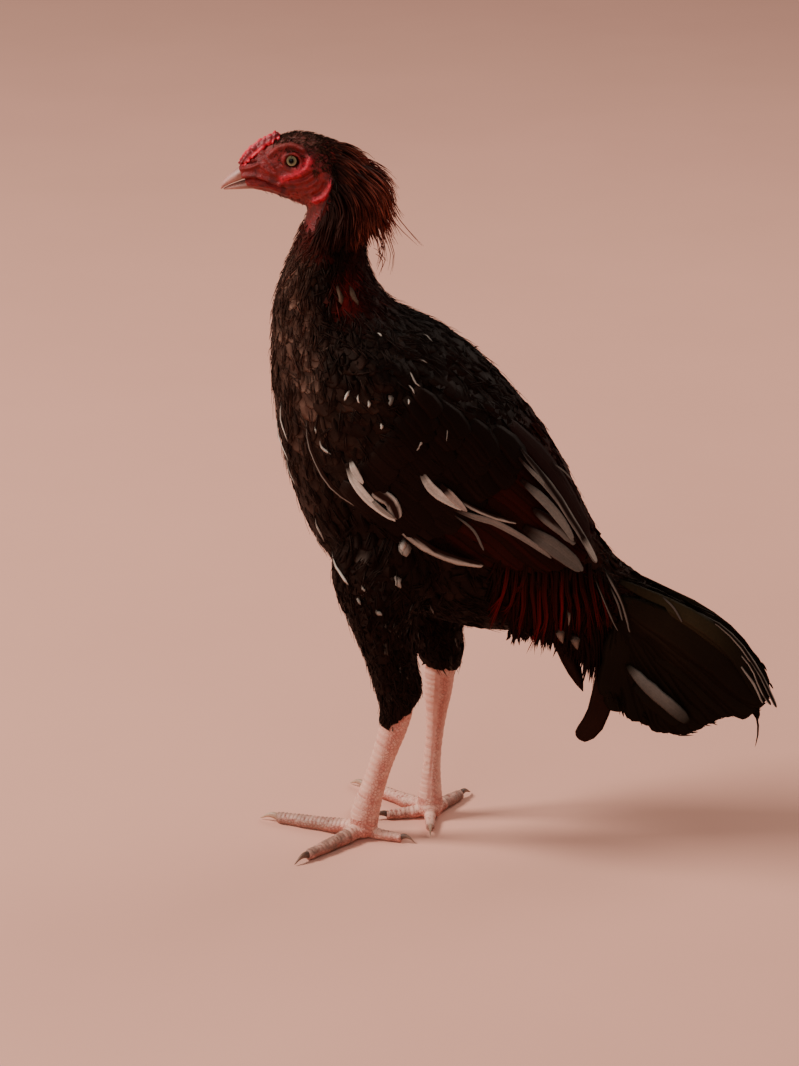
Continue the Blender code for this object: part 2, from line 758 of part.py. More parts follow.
def make_leg(side, body):
    """Thigh, shank, foot and toes of one side."""
    leg = LEGS[side]
    cuff_at, cuff_down = plane(leg["cuff"])
    thigh_bm = limb(leg["thigh"], 14, 2)
    keep_side(thigh_bm, cuff_at, away(cuff_down))
    thigh = new_object("thigh_" + side, thigh_bm, DARK_FEATHER)
    cut_clear(thigh, body)
    foot = make_foot("foot_" + side, leg["foot"])
    shank_bm = limb(leg["shank"], 10, 4, scutes=True)
    keep_side(shank_bm, cuff_at, cuff_down)
    shank = new_object("shank_" + side, shank_bm, LEG_PINK)
    cut_clear(shank, [foot])
    made = [foot]
    for toe, (tip, radius, claw) in leg["toes"].items():
        made.append(make_toe("toe_" + toe + "_" + side, leg["foot"], tip, radius, claw, made))


# The beak's sections, as the body's: upper point, lower point, half width, widest part
BEAK_UPPER = (
    (-0.2300, 0.6305, -0.2250, 0.6168, 0.0082, 0.0),
    (-0.2345, 0.6284, -0.2295, 0.6167, 0.0076, 0.0),
    (-0.2405, 0.6240, -0.2355, 0.6161, 0.0062, 0.0),
    (-0.2460, 0.6192, -0.2418, 0.6150, 0.0046, 0.0),
    (-0.2503, 0.6145, -0.2468, 0.6126, 0.0028, 0.0),
    (-0.2525, 0.6098, -0.2512, 0.6092, 0.0009, 0.0),
)
BEAK_LOWER = (
    (-0.2250, 0.6162, -0.2225, 0.6100, 0.0074, 0.0),
    (-0.2295, 0.6161, -0.2272, 0.6103, 0.0069, 0.0),
    (-0.2355, 0.6155, -0.2335, 0.6098, 0.0056, 0.0),
    (-0.2418, 0.6144, -0.2400, 0.6095, 0.0040, 0.0),
    (-0.2462, 0.6122, -0.2455, 0.6100, 0.0018, 0.0),
)
NOSTRIL = (-0.2345, 0.0070, 0.6240)

# The mouth's line over the cheek, from the beak back: (x, z) and half height
GAPE = ((-0.2310, 0.6166, 0.0005), (-0.2150, 0.6142, 0.0005), (-0.1975, 0.6118, 0.0003))


def make_beak(head):
    """The upper and the lower beak, with the line of the mouth between them."""
    for name, rows in (("beak_upper", BEAK_UPPER), ("beak_lower", BEAK_LOWER)):
        rings = [oval(row, 10) for row in smooth_rows(rows, 2)]
        beak = new_object(name, loft(rings), BEAK_HORN)
        cut_clear(beak, [head])
        if name == "beak_upper":
            for side in (-1, 1):
                centre = (NOSTRIL[0], side * NOSTRIL[1], NOSTRIL[2])
                slit = ball("nostril", centre, (0.0026, 0.0022, 0.0010), tilt=0.55)
                as_cutter(slit)
                subtract(beak, slit)
            keep_largest(beak)


def lid_ring(side):
    """The ring of lids round one eye, oval and leaning with the cheek."""
    centre = Vector((EYE_CENTRE[0], side * 0.0178, EYE_CENTRE[2]))
    major, minor = 13, 5
    bm = bmesh.new()
    rows = []
    for i in range(major):
        turn = 2 * math.pi * i / major
        outward = Vector((math.cos(turn), 0.0, math.sin(turn)))
        lean = side * (0.0010 * math.cos(turn) - 0.0012 * max(0.0, math.sin(turn)))
        middle = centre + Vector((0.0076 * outward.x, lean, 0.0066 * outward.z))
        row = []
        for j in range(minor):
            angle = 2 * math.pi * j / minor
            row.append(bm.verts.new(middle + outward * (0.0021 * math.cos(angle))
                                    + Vector((0, 0.0024 * math.sin(angle), 0))))
        rows.append(row)
    for i in range(major):
        for j in range(minor):
            k, m = (i + 1) % major, (j + 1) % minor
            bm.faces.new((rows[i][j], rows[i][m], rows[k][m], rows[k][j]))
    return new_object("lid", bm)


def finish_head(head):
    """Brows, lids, ears, lobes and throat on the head, then eyes and the mouth's line."""
    folds = []
    for side in (-1, 1):
        folds.append(lid_ring(side))
        folds.append(ball("brow", (-0.1875, side * 0.0152, 0.6472), (0.0130, 0.0050, 0.0044), tilt=-0.14))
        folds.append(ball("cheek", (-0.1840, side * 0.0165, 0.6245), (0.0140, 0.0042, 0.0060), tilt=0.30))
        folds.append(ball("ear", (-0.1670, side * 0.0205, 0.6295), (0.0046, 0.0036, 0.0040)))
        folds.append(ball("lobe", (-0.1610, side * 0.0225, 0.6110), (0.0036, 0.0034, 0.0095), tilt=0.75))
    folds.append(ball("throat", (-0.1850, 0.0, 0.6005), (0.0130, 0.0040, 0.0070), tilt=0.35))
    fuse(head, folds)
    for side in (-1, 1):
        rings = []
        for x, z, half in smooth_rows(GAPE, 3):
            near = side * (0.0058 + 0.0070 * (x + 0.2310) / 0.0335)
            rings.append([(x, near, z - half), (x, side * 0.030, z - half),
                          (x, side * 0.030, z + half), (x, near, z + half)])
        groove = new_object("gape", loft(rings))
        as_cutter(groove)
        subtract(head, groove)
    for side, name in ((-1, "left"), (1, "right")):
        centre = (EYE_CENTRE[0], side * EYE_CENTRE[1], EYE_CENTRE[2])
        eye = ball("eye_" + name, centre, (EYE_RADIUS,) * 3, 8, 12, finish=EYE_PALE)
        subtract(head, grown(eye, GAP))
    keep_largest(head)


# The pea comb: three rows of small bulbs from the beak's base over the forehead
COMB_LINE = ((-0.2295, 0.6325), (-0.2160, 0.6482), (-0.1990, 0.6575))
COMB_ROWS = ((0.0, 5, 0.0040, 0.0008), (-0.0052, 4, 0.0034, -0.0008), (0.0052, 4, 0.0034, -0.0008))


def make_comb(head):
    """The low pea comb, cut to sit on the head."""
    draw = random.Random(5)
    comb = ball("comb", (-0.2140, 0.0, 0.6455), (0.0190, 0.0064, 0.0044), 5, 8, -0.68, COMB_RED)
    bulbs = []
    for y, count, radius, lift in COMB_ROWS:
        for i in range(count):
            t = (i + 0.5) / count
            x, z = bezier(COMB_LINE, t)
            size = radius * draw.uniform(0.85, 1.15) * (0.75 + 0.35 * math.sin(math.pi * t))
            centre = (x - lift * 0.6, y, z + lift * 0.8)
            bulbs.append(ball("bulb", centre, (size, size, size * 1.15), 4, 6, -0.7))
    fuse(comb, bulbs)
    cut_clear(comb, [head])


def centre_over_origin():
    """Moves the whole bird so that its outline is centred over the origin."""
    corners = [vert.co for part in BIRD.objects for vert in part.data.vertices]
    low = np.min(corners, axis=0)
    high = np.max(corners, axis=0)
    move = Vector((-(low[0] + high[0]) / 2, -(low[1] + high[1]) / 2, 0.0))
    for part in BIRD.objects:
        for vert in part.data.vertices:
            vert.co += move


for old in list(bpy.data.objects):
    bpy.data.objects.remove(old)

BIRD = bpy.data.collections.new("Aseel cock")
CUTTERS = bpy.data.collections.new("Cutters")
bpy.context.scene.collection.children.link(BIRD)
bpy.context.scene.collection.children.link(CUTTERS)

DARK_FEATHER = material("dark_feather", (0.020, 0.014, 0.012), 0.5)
SADDLE_RED = material("saddle_red", (0.110, 0.012, 0.008), 0.5)
HACKLE_RED = material("hackle_red", (0.090, 0.012, 0.009), 0.5)
TAIL_BLACK = material("tail_black", (0.010, 0.014, 0.010), 0.4)
FACE_RED = material("face_red", (0.420, 0.050, 0.045), 0.55)
COMB_RED = material("comb_red", (0.560, 0.030, 0.040), 0.5)
BEAK_HORN = material("beak_horn", (0.560, 0.370, 0.280), 0.4)
EYE_PALE = material("eye_pale", (0.420, 0.420, 0.250), 0.15)
LEG_PINK = material("leg_pink", (0.560, 0.290, 0.220), 0.6)
CLAW_HORN = material("claw_horn", (0.400, 0.260, 0.180), 0.45)

torso, rump, neck, head = make_body()
make_beak(head)
finish_head(head)
make_comb(head)
flank = flank_lie()
make_wing("wing_left", -1, flank, [torso, rump])
make_wing("wing_right", 1, flank, [torso, rump])
make_leg("left", [torso, rump])
make_leg("right", [torso, rump])
make_tail()
add_saddle(rump, flank)
add_hackles(neck)
cut_clear(neck, [torso, head], 0.8 * GAP)
centre_over_origin()
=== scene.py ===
"""The aseel cock as a museum model: skin, plumage, head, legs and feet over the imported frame."""

import enum
import logging
import math
from dataclasses import dataclass, field
from typing import Callable

import bmesh
import bpy
import numpy as np
from mathutils.bvhtree import BVHTree
from mathutils.kdtree import KDTree
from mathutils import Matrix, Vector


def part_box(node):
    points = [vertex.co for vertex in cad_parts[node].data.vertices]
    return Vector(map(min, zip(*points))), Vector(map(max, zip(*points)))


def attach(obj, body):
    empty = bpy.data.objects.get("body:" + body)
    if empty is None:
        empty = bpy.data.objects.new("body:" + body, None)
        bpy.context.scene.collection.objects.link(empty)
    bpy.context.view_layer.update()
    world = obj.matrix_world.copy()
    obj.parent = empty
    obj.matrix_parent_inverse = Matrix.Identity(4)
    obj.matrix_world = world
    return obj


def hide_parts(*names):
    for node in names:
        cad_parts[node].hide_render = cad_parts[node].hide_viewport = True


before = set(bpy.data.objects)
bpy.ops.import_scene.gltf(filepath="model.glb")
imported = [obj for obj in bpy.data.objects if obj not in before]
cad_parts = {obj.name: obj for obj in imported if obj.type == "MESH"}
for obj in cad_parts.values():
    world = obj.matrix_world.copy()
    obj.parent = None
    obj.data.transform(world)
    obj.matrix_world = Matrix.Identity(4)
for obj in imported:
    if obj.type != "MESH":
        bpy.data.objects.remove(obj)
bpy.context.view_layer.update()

log = logging.getLogger("cock")
Array = np.ndarray
Colour = tuple[float, float, float]
Line = tuple[tuple[float, float], ...]

# The left eye's centre in the bird's own measures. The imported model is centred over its
# outline, so everything moves by what lies between the two.
EYE_CENTRE = np.array((-0.1880, -0.0122, 0.6385))
SHIFT = np.array([np.array(corner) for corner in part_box("eye_left")]).mean(axis=0) - EYE_CENTRE

# Trunk, neck and head from the tail's root to the beak: the upper point (x, z), the lower
# point (x, z), the half width, and how far the widest part lies towards the upper side.
TRUNK_ROWS = (
    (0.101, 0.264, 0.088, 0.222, 0.0150, 0.0),
    (0.086, 0.276, 0.062, 0.208, 0.0230, 0.0),
    (0.075, 0.302, 0.028, 0.200, 0.0325, 0.0),
    (0.062, 0.333, -0.010, 0.200, 0.0415, 0.0),
    (0.047, 0.364, -0.054, 0.208, 0.0500, 0.0),
    (0.028, 0.396, -0.102, 0.228, 0.0580, 0.0),
    (0.006, 0.425, -0.146, 0.258, 0.0645, 0.0),
    (-0.014, 0.448, -0.174, 0.296, 0.0690, 0.0),
    (-0.036, 0.468, -0.190, 0.338, 0.0710, 0.0),
    (-0.058, 0.484, -0.200, 0.380, 0.0700, 0.05),
    (-0.078, 0.493, -0.206, 0.420, 0.0655, 0.10),
    (-0.093, 0.500, -0.208, 0.452, 0.0565, 0.10),
    (-0.104, 0.509, -0.2075, 0.480, 0.0440, 0.0),
    (-0.1150, 0.522, -0.2055, 0.506, 0.0375, 0.0),
    (-0.1235, 0.540, -0.1990, 0.531, 0.0325, 0.0),
    (-0.1260, 0.560, -0.1890, 0.556, 0.0290, 0.0),
    (-0.1225, 0.583, -0.1815, 0.574, 0.0275, 0.0),
    (-0.1185, 0.606, -0.1775, 0.586, 0.0265, 0.05),
    (-0.1275, 0.628, -0.1765, 0.5915, 0.0252, 0.10),
    (-0.1430, 0.646, -0.1775, 0.5945, 0.0230, 0.12),
    (-0.162, 0.655, -0.1800, 0.5965, 0.0208, 0.15),
    (-0.180, 0.6595, -0.1860, 0.5990, 0.0190, 0.18),
    (-0.196, 0.6570, -0.1940, 0.6020, 0.0172, 0.20),
    (-0.209, 0.6500, -0.2030, 0.6050, 0.0146, 0.16),
    (-0.221, 0.6405, -0.2140, 0.6080, 0.0115, 0.08),
    (-0.2365, 0.6288, -0.2270, 0.6108, 0.0084, 0.0),
)
FACE_PLACE = 19.4

# The tail's fleshy root, from the rump on
TAIL_ROOT_ROWS = (
    (0.062, 0.333, -0.010, 0.200, 0.0400, 0.0),
    (0.078, 0.298, 0.030, 0.201, 0.0315, 0.0),
    (0.095, 0.271, 0.066, 0.203, 0.0240, 0.0),
    (0.114, 0.252, 0.096, 0.190, 0.0175, 0.0),
    (0.137, 0.233, 0.118, 0.166, 0.0120, 0.0),
    (0.160, 0.212, 0.140, 0.145, 0.0070, 0.0),
)

# Where feathers begin on the head: x of the face's edge for heights from throat to crown
FACE_EDGE_Z = (0.560, 0.580, 0.594, 0.604, 0.618, 0.628, 0.644, 0.654)
FACE_EDGE_X = (-0.166, -0.163, -0.164, -0.160, -0.154, -0.154, -0.158, -0.163)


# ---- small helpers


def unit(vectors: Array) -> Array:
    """Vectors scaled to length one."""
    return vectors / np.maximum(np.linalg.norm(vectors, axis=-1, keepdims=True), 1e-12)


def curve_row(rows: Array, place: Array) -> Array:
    """Rows of numbers at places along a smooth curve through given rows.

    Args:
        rows: One row of numbers for each whole place.
        place: Places along the rows, of any shape.

    Returns:
        One row for each place.
    """
    last = len(rows) - 1
    at = np.clip(np.floor(place).astype(int), 0, last - 1)
    t = (place - at)[..., None]
    start, end = rows[at], rows[at + 1]
    before = np.where((at > 0)[..., None], rows[np.maximum(at - 1, 0)], 2 * start - end)
    after = np.where((at + 2 <= last)[..., None], rows[np.minimum(at + 2, last)], 2 * end - start)
    return 0.5 * (2 * start + (end - before) * t
                  + (2 * before - 5 * start + 4 * end - after) * t ** 2
                  + (3 * start - before - 3 * end + after) * t ** 3)


def along_line(points: Array, share: Array) -> Array:
    """Points at shares of a smooth line through given points."""
    points = np.asarray(points, dtype=float)
    return curve_row(points, np.asarray(share) * (len(points) - 1))


def ridge(spots: Array, line: Array, width: float) -> Array:
    """How near each spot lies to a line, 1 on it and falling off over a width.

    Args:
        spots: Points in a plane, one row each.
        line: The line's points.
        width: The distance at which nearness falls to about a third.

    Returns:
        A number from 0 to 1 for each spot.
    """
    fine = along_line(line, np.linspace(0.0, 1.0, 25))
    gaps = np.full(len(spots), 9.0)
    for a, b in zip(fine, fine[1:]):
        step = b - a
        t = np.clip(((spots - a) @ step) / max(float(step @ step), 1e-12), 0.0, 1.0)
        gaps = np.minimum(gaps, np.linalg.norm(spots - a - t[:, None] * step, axis=1))
    return np.exp(-(gaps / width) ** 2)


def select_none() -> None:
    """Leaves nothing selected, in object mode."""
    if bpy.context.object is not None and bpy.context.object.mode != "OBJECT":
        bpy.ops.object.mode_set(mode="OBJECT")
    bpy.ops.object.select_all(action="DESELECT")


def take(piece: bpy.types.Object) -> None:
    """Selects one object alone and makes it active."""
    select_none()
    piece.select_set(True)
    bpy.context.view_layer.objects.active = piece


def apply_modifier(piece: bpy.types.Object, kind: str, **settings: object) -> None:
    """Adds a modifier with settings to an object and applies it."""
    take(piece)
    step = piece.modifiers.new(kind.lower(), kind)
    for name, value in settings.items():
        setattr(step, name, value)
    bpy.ops.object.modifier_apply(modifier=step.name)


def subdivided(piece: bpy.types.Object, levels: int) -> None:
    """Smooths an object by applied subdivision."""
    apply_modifier(piece, "SUBSURF", levels=levels, render_levels=levels)


def joined(pieces: list[bpy.types.Object], name: str) -> bpy.types.Object:
    """Joins objects to one with a name."""
    select_none()
    for piece in pieces:
        piece.select_set(True)
    bpy.context.view_layer.objects.active = pieces[0]
    bpy.ops.object.join()
    made = bpy.context.object
    made.name = name
    made.data.name = name
    return made


def points_of(piece: bpy.types.Object) -> Array:
    """An object's points as rows."""
    flat = np.empty(len(piece.data.vertices) * 3)
    piece.data.vertices.foreach_get("co", flat)
    return flat.reshape(-1, 3)


def move_points(piece: bpy.types.Object, points: Array) -> None:
    """Sets an object's points."""
    piece.data.vertices.foreach_set("co", points.ravel())
    piece.data.update()


def normals_of(piece: bpy.types.Object) -> Array:
    """An object's point normals as rows."""
    flat = np.empty(len(piece.data.vertices) * 3)
    piece.data.vertices.foreach_get("normal", flat)
    return flat.reshape(-1, 3)


def tube(name: str, rings: Array) -> bpy.types.Object:
    """Models a closed tube: a circle, extruded ring by ring, each ring set to its shape.

    Args:
        name: The object's name.
        rings: Points in rings of equal count, as (rings, points, 3).

    Returns:
        The tube, with flat ends.
    """
    select_none()
    bpy.ops.mesh.primitive_circle_add(vertices=rings.shape[1], radius=0.01, fill_type="NGON")
    piece = bpy.context.object
    piece.name = name
    piece.data.name = name
    bpy.ops.object.mode_set(mode="EDIT")
    mesh = bmesh.from_edit_mesh(piece.data)
    cap = mesh.faces[:][0]
    order = {corner.index: i for i, corner in enumerate(cap.verts)}
    for corner in cap.verts:
        corner.co = rings[0][order[corner.index]]
    bmesh.update_edit_mesh(piece.data)
    for ring in rings[1:]:
        bpy.ops.mesh.extrude_region_move()
        mesh = bmesh.from_edit_mesh(piece.data)
        mesh.verts.index_update()
        following = {}
        for corner in (vert for vert in mesh.verts if vert.select):
            root = next(edge.other_vert(corner) for edge in corner.link_edges
                        if not edge.other_vert(corner).select)
            following[corner.index] = order[root.index]
            corner.co = ring[order[root.index]]
        order = following
        bmesh.update_edit_mesh(piece.data)
    bpy.ops.mesh.select_all(action="SELECT")
    bpy.ops.mesh.normals_make_consistent(inside=False)
    bpy.ops.object.mode_set(mode="OBJECT")
    return piece


def ring_grid(places: Array, columns: int) -> tuple[Array, Array]:
    """Places and turns of a grid that goes all the way round a form.

    Args:
        places: The places of its rings.
        columns: How many points each ring has.

    Returns:
        Each point's place and turn, as (rings, points).
    """
    turns = np.linspace(0, 2 * math.pi, columns, endpoint=False)
    return tuple(np.meshgrid(places, turns, indexing="ij"))


def oval(centre: Array, across: Array, wide: float, high: float, columns: int) -> Array:
    """An upright ring of points, cut flat at the floor.

    Args:
        centre: Its middle.
        across: The level direction of its width.
        wide: Half its width.
        high: Half its height.
        columns: How many points it has.

    Returns:
        The points, one row each.
    """
    turns = 2 * math.pi * (np.arange(columns) + 0.5) / columns
    ring = (centre + across * (wide * np.cos(turns))[:, None]
            + np.array((0, 0, 1.0)) * (high * np.sin(turns))[:, None])
    ring[:, 2] = np.maximum(ring[:, 2], 0.0)
    return ring


def sphere(segments: int, rings: int, radius: float, **settings: object) -> bpy.types.Object:
    """Models a sphere and applies its place, turn and scale."""
    select_none()
    bpy.ops.mesh.primitive_uv_sphere_add(segments=segments, ring_count=rings, radius=radius,
                                         **settings)
    bpy.ops.object.transform_apply(location=True, rotation=True, scale=True)
    return bpy.context.object


def melted(pieces: list[bpy.types.Object], name: str, voxel: float,
           rounds: int) -> bpy.types.Object:
    """Joins objects, melts them to one closed surface and smooths it.

    Args:
        pieces: The objects.
        name: The new object's name.
        voxel: The size of the melted surface's faces.
        rounds: How often it is smoothed.

    Returns:
        The object.
    """
    made = joined(pieces, name)
    apply_modifier(made, "REMESH", mode="VOXEL", voxel_size=voxel, use_smooth_shade=True)
    apply_modifier(made, "SMOOTH", factor=0.5, iterations=rounds)
    bpy.context.view_layer.update()
    return made


def store_pattern(piece: bpy.types.Object, *parts: Array, name: str = "Relief") -> None:
    """Stores up to three patterns on an object's points for its material."""
    full = np.zeros((len(piece.data.vertices), 4))
    full[:, 3] = 1.0
    for i, part in enumerate(parts):
        full[:, i] = part
    layer = piece.data.color_attributes.new(name=name, type="FLOAT_COLOR", domain="POINT")
    layer.data.foreach_set("color", full.astype(np.float32).ravel())


def finish_piece(piece: bpy.types.Object, finish: bpy.types.Material) -> None:
    """Shades a piece smooth, gives it its material and moves it to its place."""
    take(piece)
    bpy.ops.object.shade_smooth()
    piece.data.materials.clear()
    piece.data.materials.append(finish)
    move_points(piece, points_of(piece) + SHIFT)


def grid_faces(rows: int, columns: int) -> list[tuple[int, int, int, int]]:
    """The quads of a grid of points."""
    return [(i * columns + j, i * columns + j + 1, (i + 1) * columns + j + 1, (i + 1) * columns + j)
            for i in range(rows - 1) for j in range(columns - 1)]


def in_space(flat: Array, y: Array) -> Array:
    """Points of the side view, as (x, z), set at their y."""
    return np.stack((flat[..., 0], np.broadcast_to(y, flat.shape[:-1]), flat[..., 1]), axis=-1)


# ---- materials


class Wire:
    """A socket of a material's node, with arithmetic that adds Math nodes."""

    def __init__(self, graph: "Graph", socket: bpy.types.NodeSocket) -> None:
        """Keeps the graph and the socket."""
        self.graph = graph
        self.socket = socket

    def maths(self, operation: str, first: object, second: object = 0.0) -> "Wire":
        """The result of a Math node."""
        return self.graph.add("ShaderNodeMath", {"operation": operation}, {0: first, 1: second})

    def __add__(self, other: object) -> "Wire":
        """The sum."""
        return self.maths("ADD", self, other)

    def __sub__(self, other: object) -> "Wire":
        """The difference."""
        return self.maths("SUBTRACT", self, other)

    def __rsub__(self, other: object) -> "Wire":
        """The difference, the other way round."""
        return self.maths("SUBTRACT", other, self)

    def __mul__(self, other: object) -> "Wire":
        """The product."""
        return self.maths("MULTIPLY", self, other)

    __radd__ = __add__
    __rmul__ = __mul__

    def sine(self) -> "Wire":
        """The sine."""
        return self.maths("SINE", self)

    def size(self) -> "Wire":
        """The value without its sign."""
        return self.maths("ABSOLUTE", self)

    def band(self, low: float, high: float) -> "Wire":
        """A smooth step from 0 at a low value to 1 at a high one."""
        return self.graph.add("ShaderNodeMapRange", {"interpolation_type": "SMOOTHSTEP"},
                              {"Value": self, "From Min": low, "From Max": high})


class Graph:
    """The nodes of one material."""

    def __init__(self, name: str) -> None:
        """Starts a material with a shader and an output."""
        self.material = bpy.data.materials.new(name)
        self.material.use_nodes = True
        self.nodes = self.material.node_tree.nodes
        self.links = self.material.node_tree.links
        self.shader = self.nodes["Principled BSDF"]

    def add(self, kind: str, settings: dict[str, object], sockets: dict[object, object],
            output: object = 0) -> Wire:
        """Adds a node.

        Args:
            kind: The node's type.
            settings: Its properties. "stops" gives a ramp's places and colours.
            sockets: Values or wires for its inputs, by name or number.
            output: The output wanted, by name or number.

        Returns:
            The output, wrapped.
        """
        node = self.nodes.new(kind)
        for name, value in settings.items():
            if name == "stops":
                stops = node.color_ramp.elements
                while len(stops) < len(value):
                    stops.new(0.5)
                for stop, (place, colour) in zip(stops, value):
                    stop.position = place
                    stop.color = (*colour, 1.0)
            else:
                setattr(node, name, value)
        for name, value in sockets.items():
            self.feed(node.inputs[name], value)
        return Wire(self, node.outputs[output])

    def feed(self, socket: bpy.types.NodeSocket, value: object) -> None:
        """Links a wire to an input, or sets the input's value."""
        if isinstance(value, Wire):
            self.links.new(value.socket, socket)
        else:
            socket.default_value = (*value, 1.0) if socket.type == "RGBA" else value

    def place(self) -> Wire:
        """Where a point lies in the bird's own measures."""
        at = self.add("ShaderNodeTexCoord", {}, {}, "Object")
        return self.vectors("SUBTRACT", {0: at, 1: tuple(SHIFT)})

    def vectors(self, operation: str, sockets: dict[object, object], output: object = 0) -> Wire:
        """The result of a Vector Math node."""
        return self.add("ShaderNodeVectorMath", {"operation": operation}, sockets, output)

    def pattern(self, name: str = "Relief") -> tuple[Wire, Wire, Wire]:
        """The three parts of a pattern stored on the points."""
        return self.axes(self.add("ShaderNodeAttribute", {"attribute_name": name}, {}, "Color"))

    def axes(self, vector: Wire) -> tuple[Wire, Wire, Wire]:
        """A vector's three parts."""
        node = self.nodes.new("ShaderNodeSeparateXYZ")
        self.links.new(vector.socket, node.inputs[0])
        return tuple(Wire(self, out) for out in node.outputs)

    def noise(self, vector: Wire, scale: float, detail: float = 3.0, rough: float = 0.55) -> Wire:
        """A cloudy pattern from 0 to 1."""
        return self.add("ShaderNodeTexNoise", {},
                        {"Vector": vector, "Scale": scale, "Detail": detail, "Roughness": rough})

    def cells(self, vector: Wire, scale: float, feature: str = "F1") -> Wire:
        """The distance pattern of scattered cells."""
        return self.add("ShaderNodeTexVoronoi", {"feature": feature},
                        {"Vector": vector, "Scale": scale}, "Distance")

    def mix(self, share: object, first: object, second: object) -> Wire:
        """Two colours mixed by a share."""
        return self.add("ShaderNodeMix", {"data_type": "RGBA"}, {0: share, 6: first, 7: second}, 2)

    def shade(self, colour: object, share: Wire) -> Wire:
        """A colour made brighter or darker by a factor."""
        return self.vectors("SCALE", {0: colour, "Scale": share})

    def bump(self, height: Wire, depth: float, strength: float = 1.0) -> Wire:
        """A normal from a height pattern of a depth in metres."""
        return self.add("ShaderNodeBump", {},
                        {"Height": height, "Distance": depth, "Strength": strength})

    def finish(self, links: dict[str, Wire], fixed: dict[str, object]) -> bpy.types.Material:
        """Feeds the shader.

        Args:
            links: What changes over the surface.
            fixed: What is the same all over.

        Returns:
            The material.
        """
        for name, value in {**fixed, **links}.items():
            self.feed(self.shader.inputs[name], value)
        return self.material


def flesh(weight: float, reach: Colour) -> dict[str, object]:
    """Shader settings for light that enters a surface, with its reach in metres by colour."""
    return {"Subsurface Weight": weight, "Subsurface Radius": reach, "Subsurface Scale": 1.0}


@dataclass(frozen=True)
class FeatherFinish:
    """Feathers, coloured by their own attribute, with barbs from their own map."""

    name: str
    roughness: float = 0.50
    barbs: float = 60.0
    gloss: float = 0.13
    sheen: Colour = (1.0, 0.64, 0.50)
    slant: float = 0.16
    shaft: float = 0.07
    relief: float = 0.00014

    def build(self) -> bpy.types.Material:
        """The material: barbs run slantwise from the shaft, the tips wear a little duller."""
        graph = Graph(self.name)
        tint = graph.add("ShaderNodeAttribute", {"attribute_name": "Tint"}, {}, "Color")
        uv = graph.add("ShaderNodeUVMap", {"uv_map": "Vane"}, {})
        along, across, _ = graph.axes(uv)
        side = ((across - 0.5) * 2.0).size()
        turn = (along * self.barbs - side * (self.barbs * self.slant)) * (2 * math.pi)
        lines = turn.sine() * 0.5 + 0.5
        fleck = graph.noise(graph.place(), 420.0, 2.0)
        cloud = graph.noise(graph.place(), 38.0, 3.0)
        shaft = 1.0 - side.band(0.0, self.shaft)
        level = (lines * 0.28 + 0.72) * (fleck * 0.5 + 0.75) * (cloud * 0.7 + 0.62)
        colour = graph.shade(tint, level + shaft * 0.12)
        rough = (fleck * 0.16 + self.roughness) + along * 0.08
        height = lines * 0.6 + fleck * 0.4 + shaft * 0.8
        return graph.finish({"Base Color": colour, "Roughness": rough,
                             "Normal": graph.bump(height, self.relief, 0.5)},
                            {"Specular IOR Level": self.gloss, "Specular Tint": self.sheen})


@dataclass(frozen=True)
class SkinFinish:
    """The whole skin: bare red face and throat, and dull dark skin under the feathers."""

    name: str = "bird_skin"
    red: Colour = (0.235, 0.0088, 0.0100)
    # bright crimson of the fold crests, ear lobe and cere: partly the skin's own colour, partly
    # painted highlight
    bright: Colour = (0.620, 0.010, 0.040)
    deep: Colour = (0.085, 0.0045, 0.0050)
    crown: Colour = (0.120, 0.030, 0.019)
    under: Colour = (0.010, 0.005, 0.004)

    def build(self) -> bpy.types.Material:
        """The material: cloudy red, brighter on the fold crests, ear lobe and cere, partly the
        skin's crimson and partly painted highlight, and deeper on the throat.
        """
        graph = Graph(self.name)
        at = graph.place()
        throat, bare, crown = graph.pattern()
        flush_and_highlight, _, _ = graph.pattern("Flush")
        grain = graph.cells(at, 900.0)
        crease = graph.noise(at, 260.0, 4.0, 0.65)
        cloud = graph.noise(at, 90.0, 3.0)
        red = graph.mix(cloud.band(0.30, 0.62) * (crease * 0.8 + 0.45), self.deep, self.red)
        # painted highlight over the skin's own crimson on the fold crests, ear lobe and cere
        share = flush_and_highlight.band(0.0, 1.0) * (crease.band(0.38, 0.62) * 0.45 + 0.36)
        red = graph.mix(share, red, self.bright)
        red = graph.mix(throat.band(0.02, 0.30), red, self.deep)
        red = graph.mix(crown * crease.band(0.30, 0.52), red, self.crown)
        colour = graph.mix(bare, self.under, graph.shade(red, crease * 0.8 + 0.62))
        height = grain * 0.6 + crease * 1.6 + cloud * 0.5
        return graph.finish({"Base Color": colour, "Roughness": crease * 0.25 + 0.36,
                             "Normal": graph.bump(height, 0.0008, 0.9)},
                            {**flesh(0.10, (0.004, 0.0012, 0.0008)), "Specular IOR Level": 0.34})


@dataclass(frozen=True)
class CombFinish:
    """Bright red comb, deeper red low on it as painted shade and paler on its upper knobs as
    painted highlight.
    """

    name: str = "comb_flesh"
    red: Colour = (0.620, 0.006, 0.030)
    pale: Colour = (0.800, 0.060, 0.095)
    deep: Colour = (0.200, 0.003, 0.010)

    def build(self) -> bpy.types.Material:
        """The material: small pores; painted shade of deep red near the base line and between the
        knobs, painted highlight of pale on the upper knobs.
        """
        graph = Graph(self.name)
        at = graph.place()
        lift, _, _ = graph.pattern()
        grain = graph.cells(at, 1400.0)
        cloud = graph.noise(at, 300.0, 3.0)
        # painted shade: deep red near the comb's base line and in the dips between the knobs
        colour = graph.mix(lift.band(0.15, 0.6), self.deep, self.red)
        # painted highlight: pale patches on the knobs far from the base line
        colour = graph.mix(lift.band(0.6, 1.0) * cloud.band(0.45, 0.7) * 0.7, colour, self.pale)
        return graph.finish({"Base Color": colour, "Roughness": cloud * 0.2 + 0.42,
                             "Normal": graph.bump(grain * 0.6 + cloud, 0.0003, 0.7)},
                            flesh(0.15, (0.004, 0.001, 0.001)))


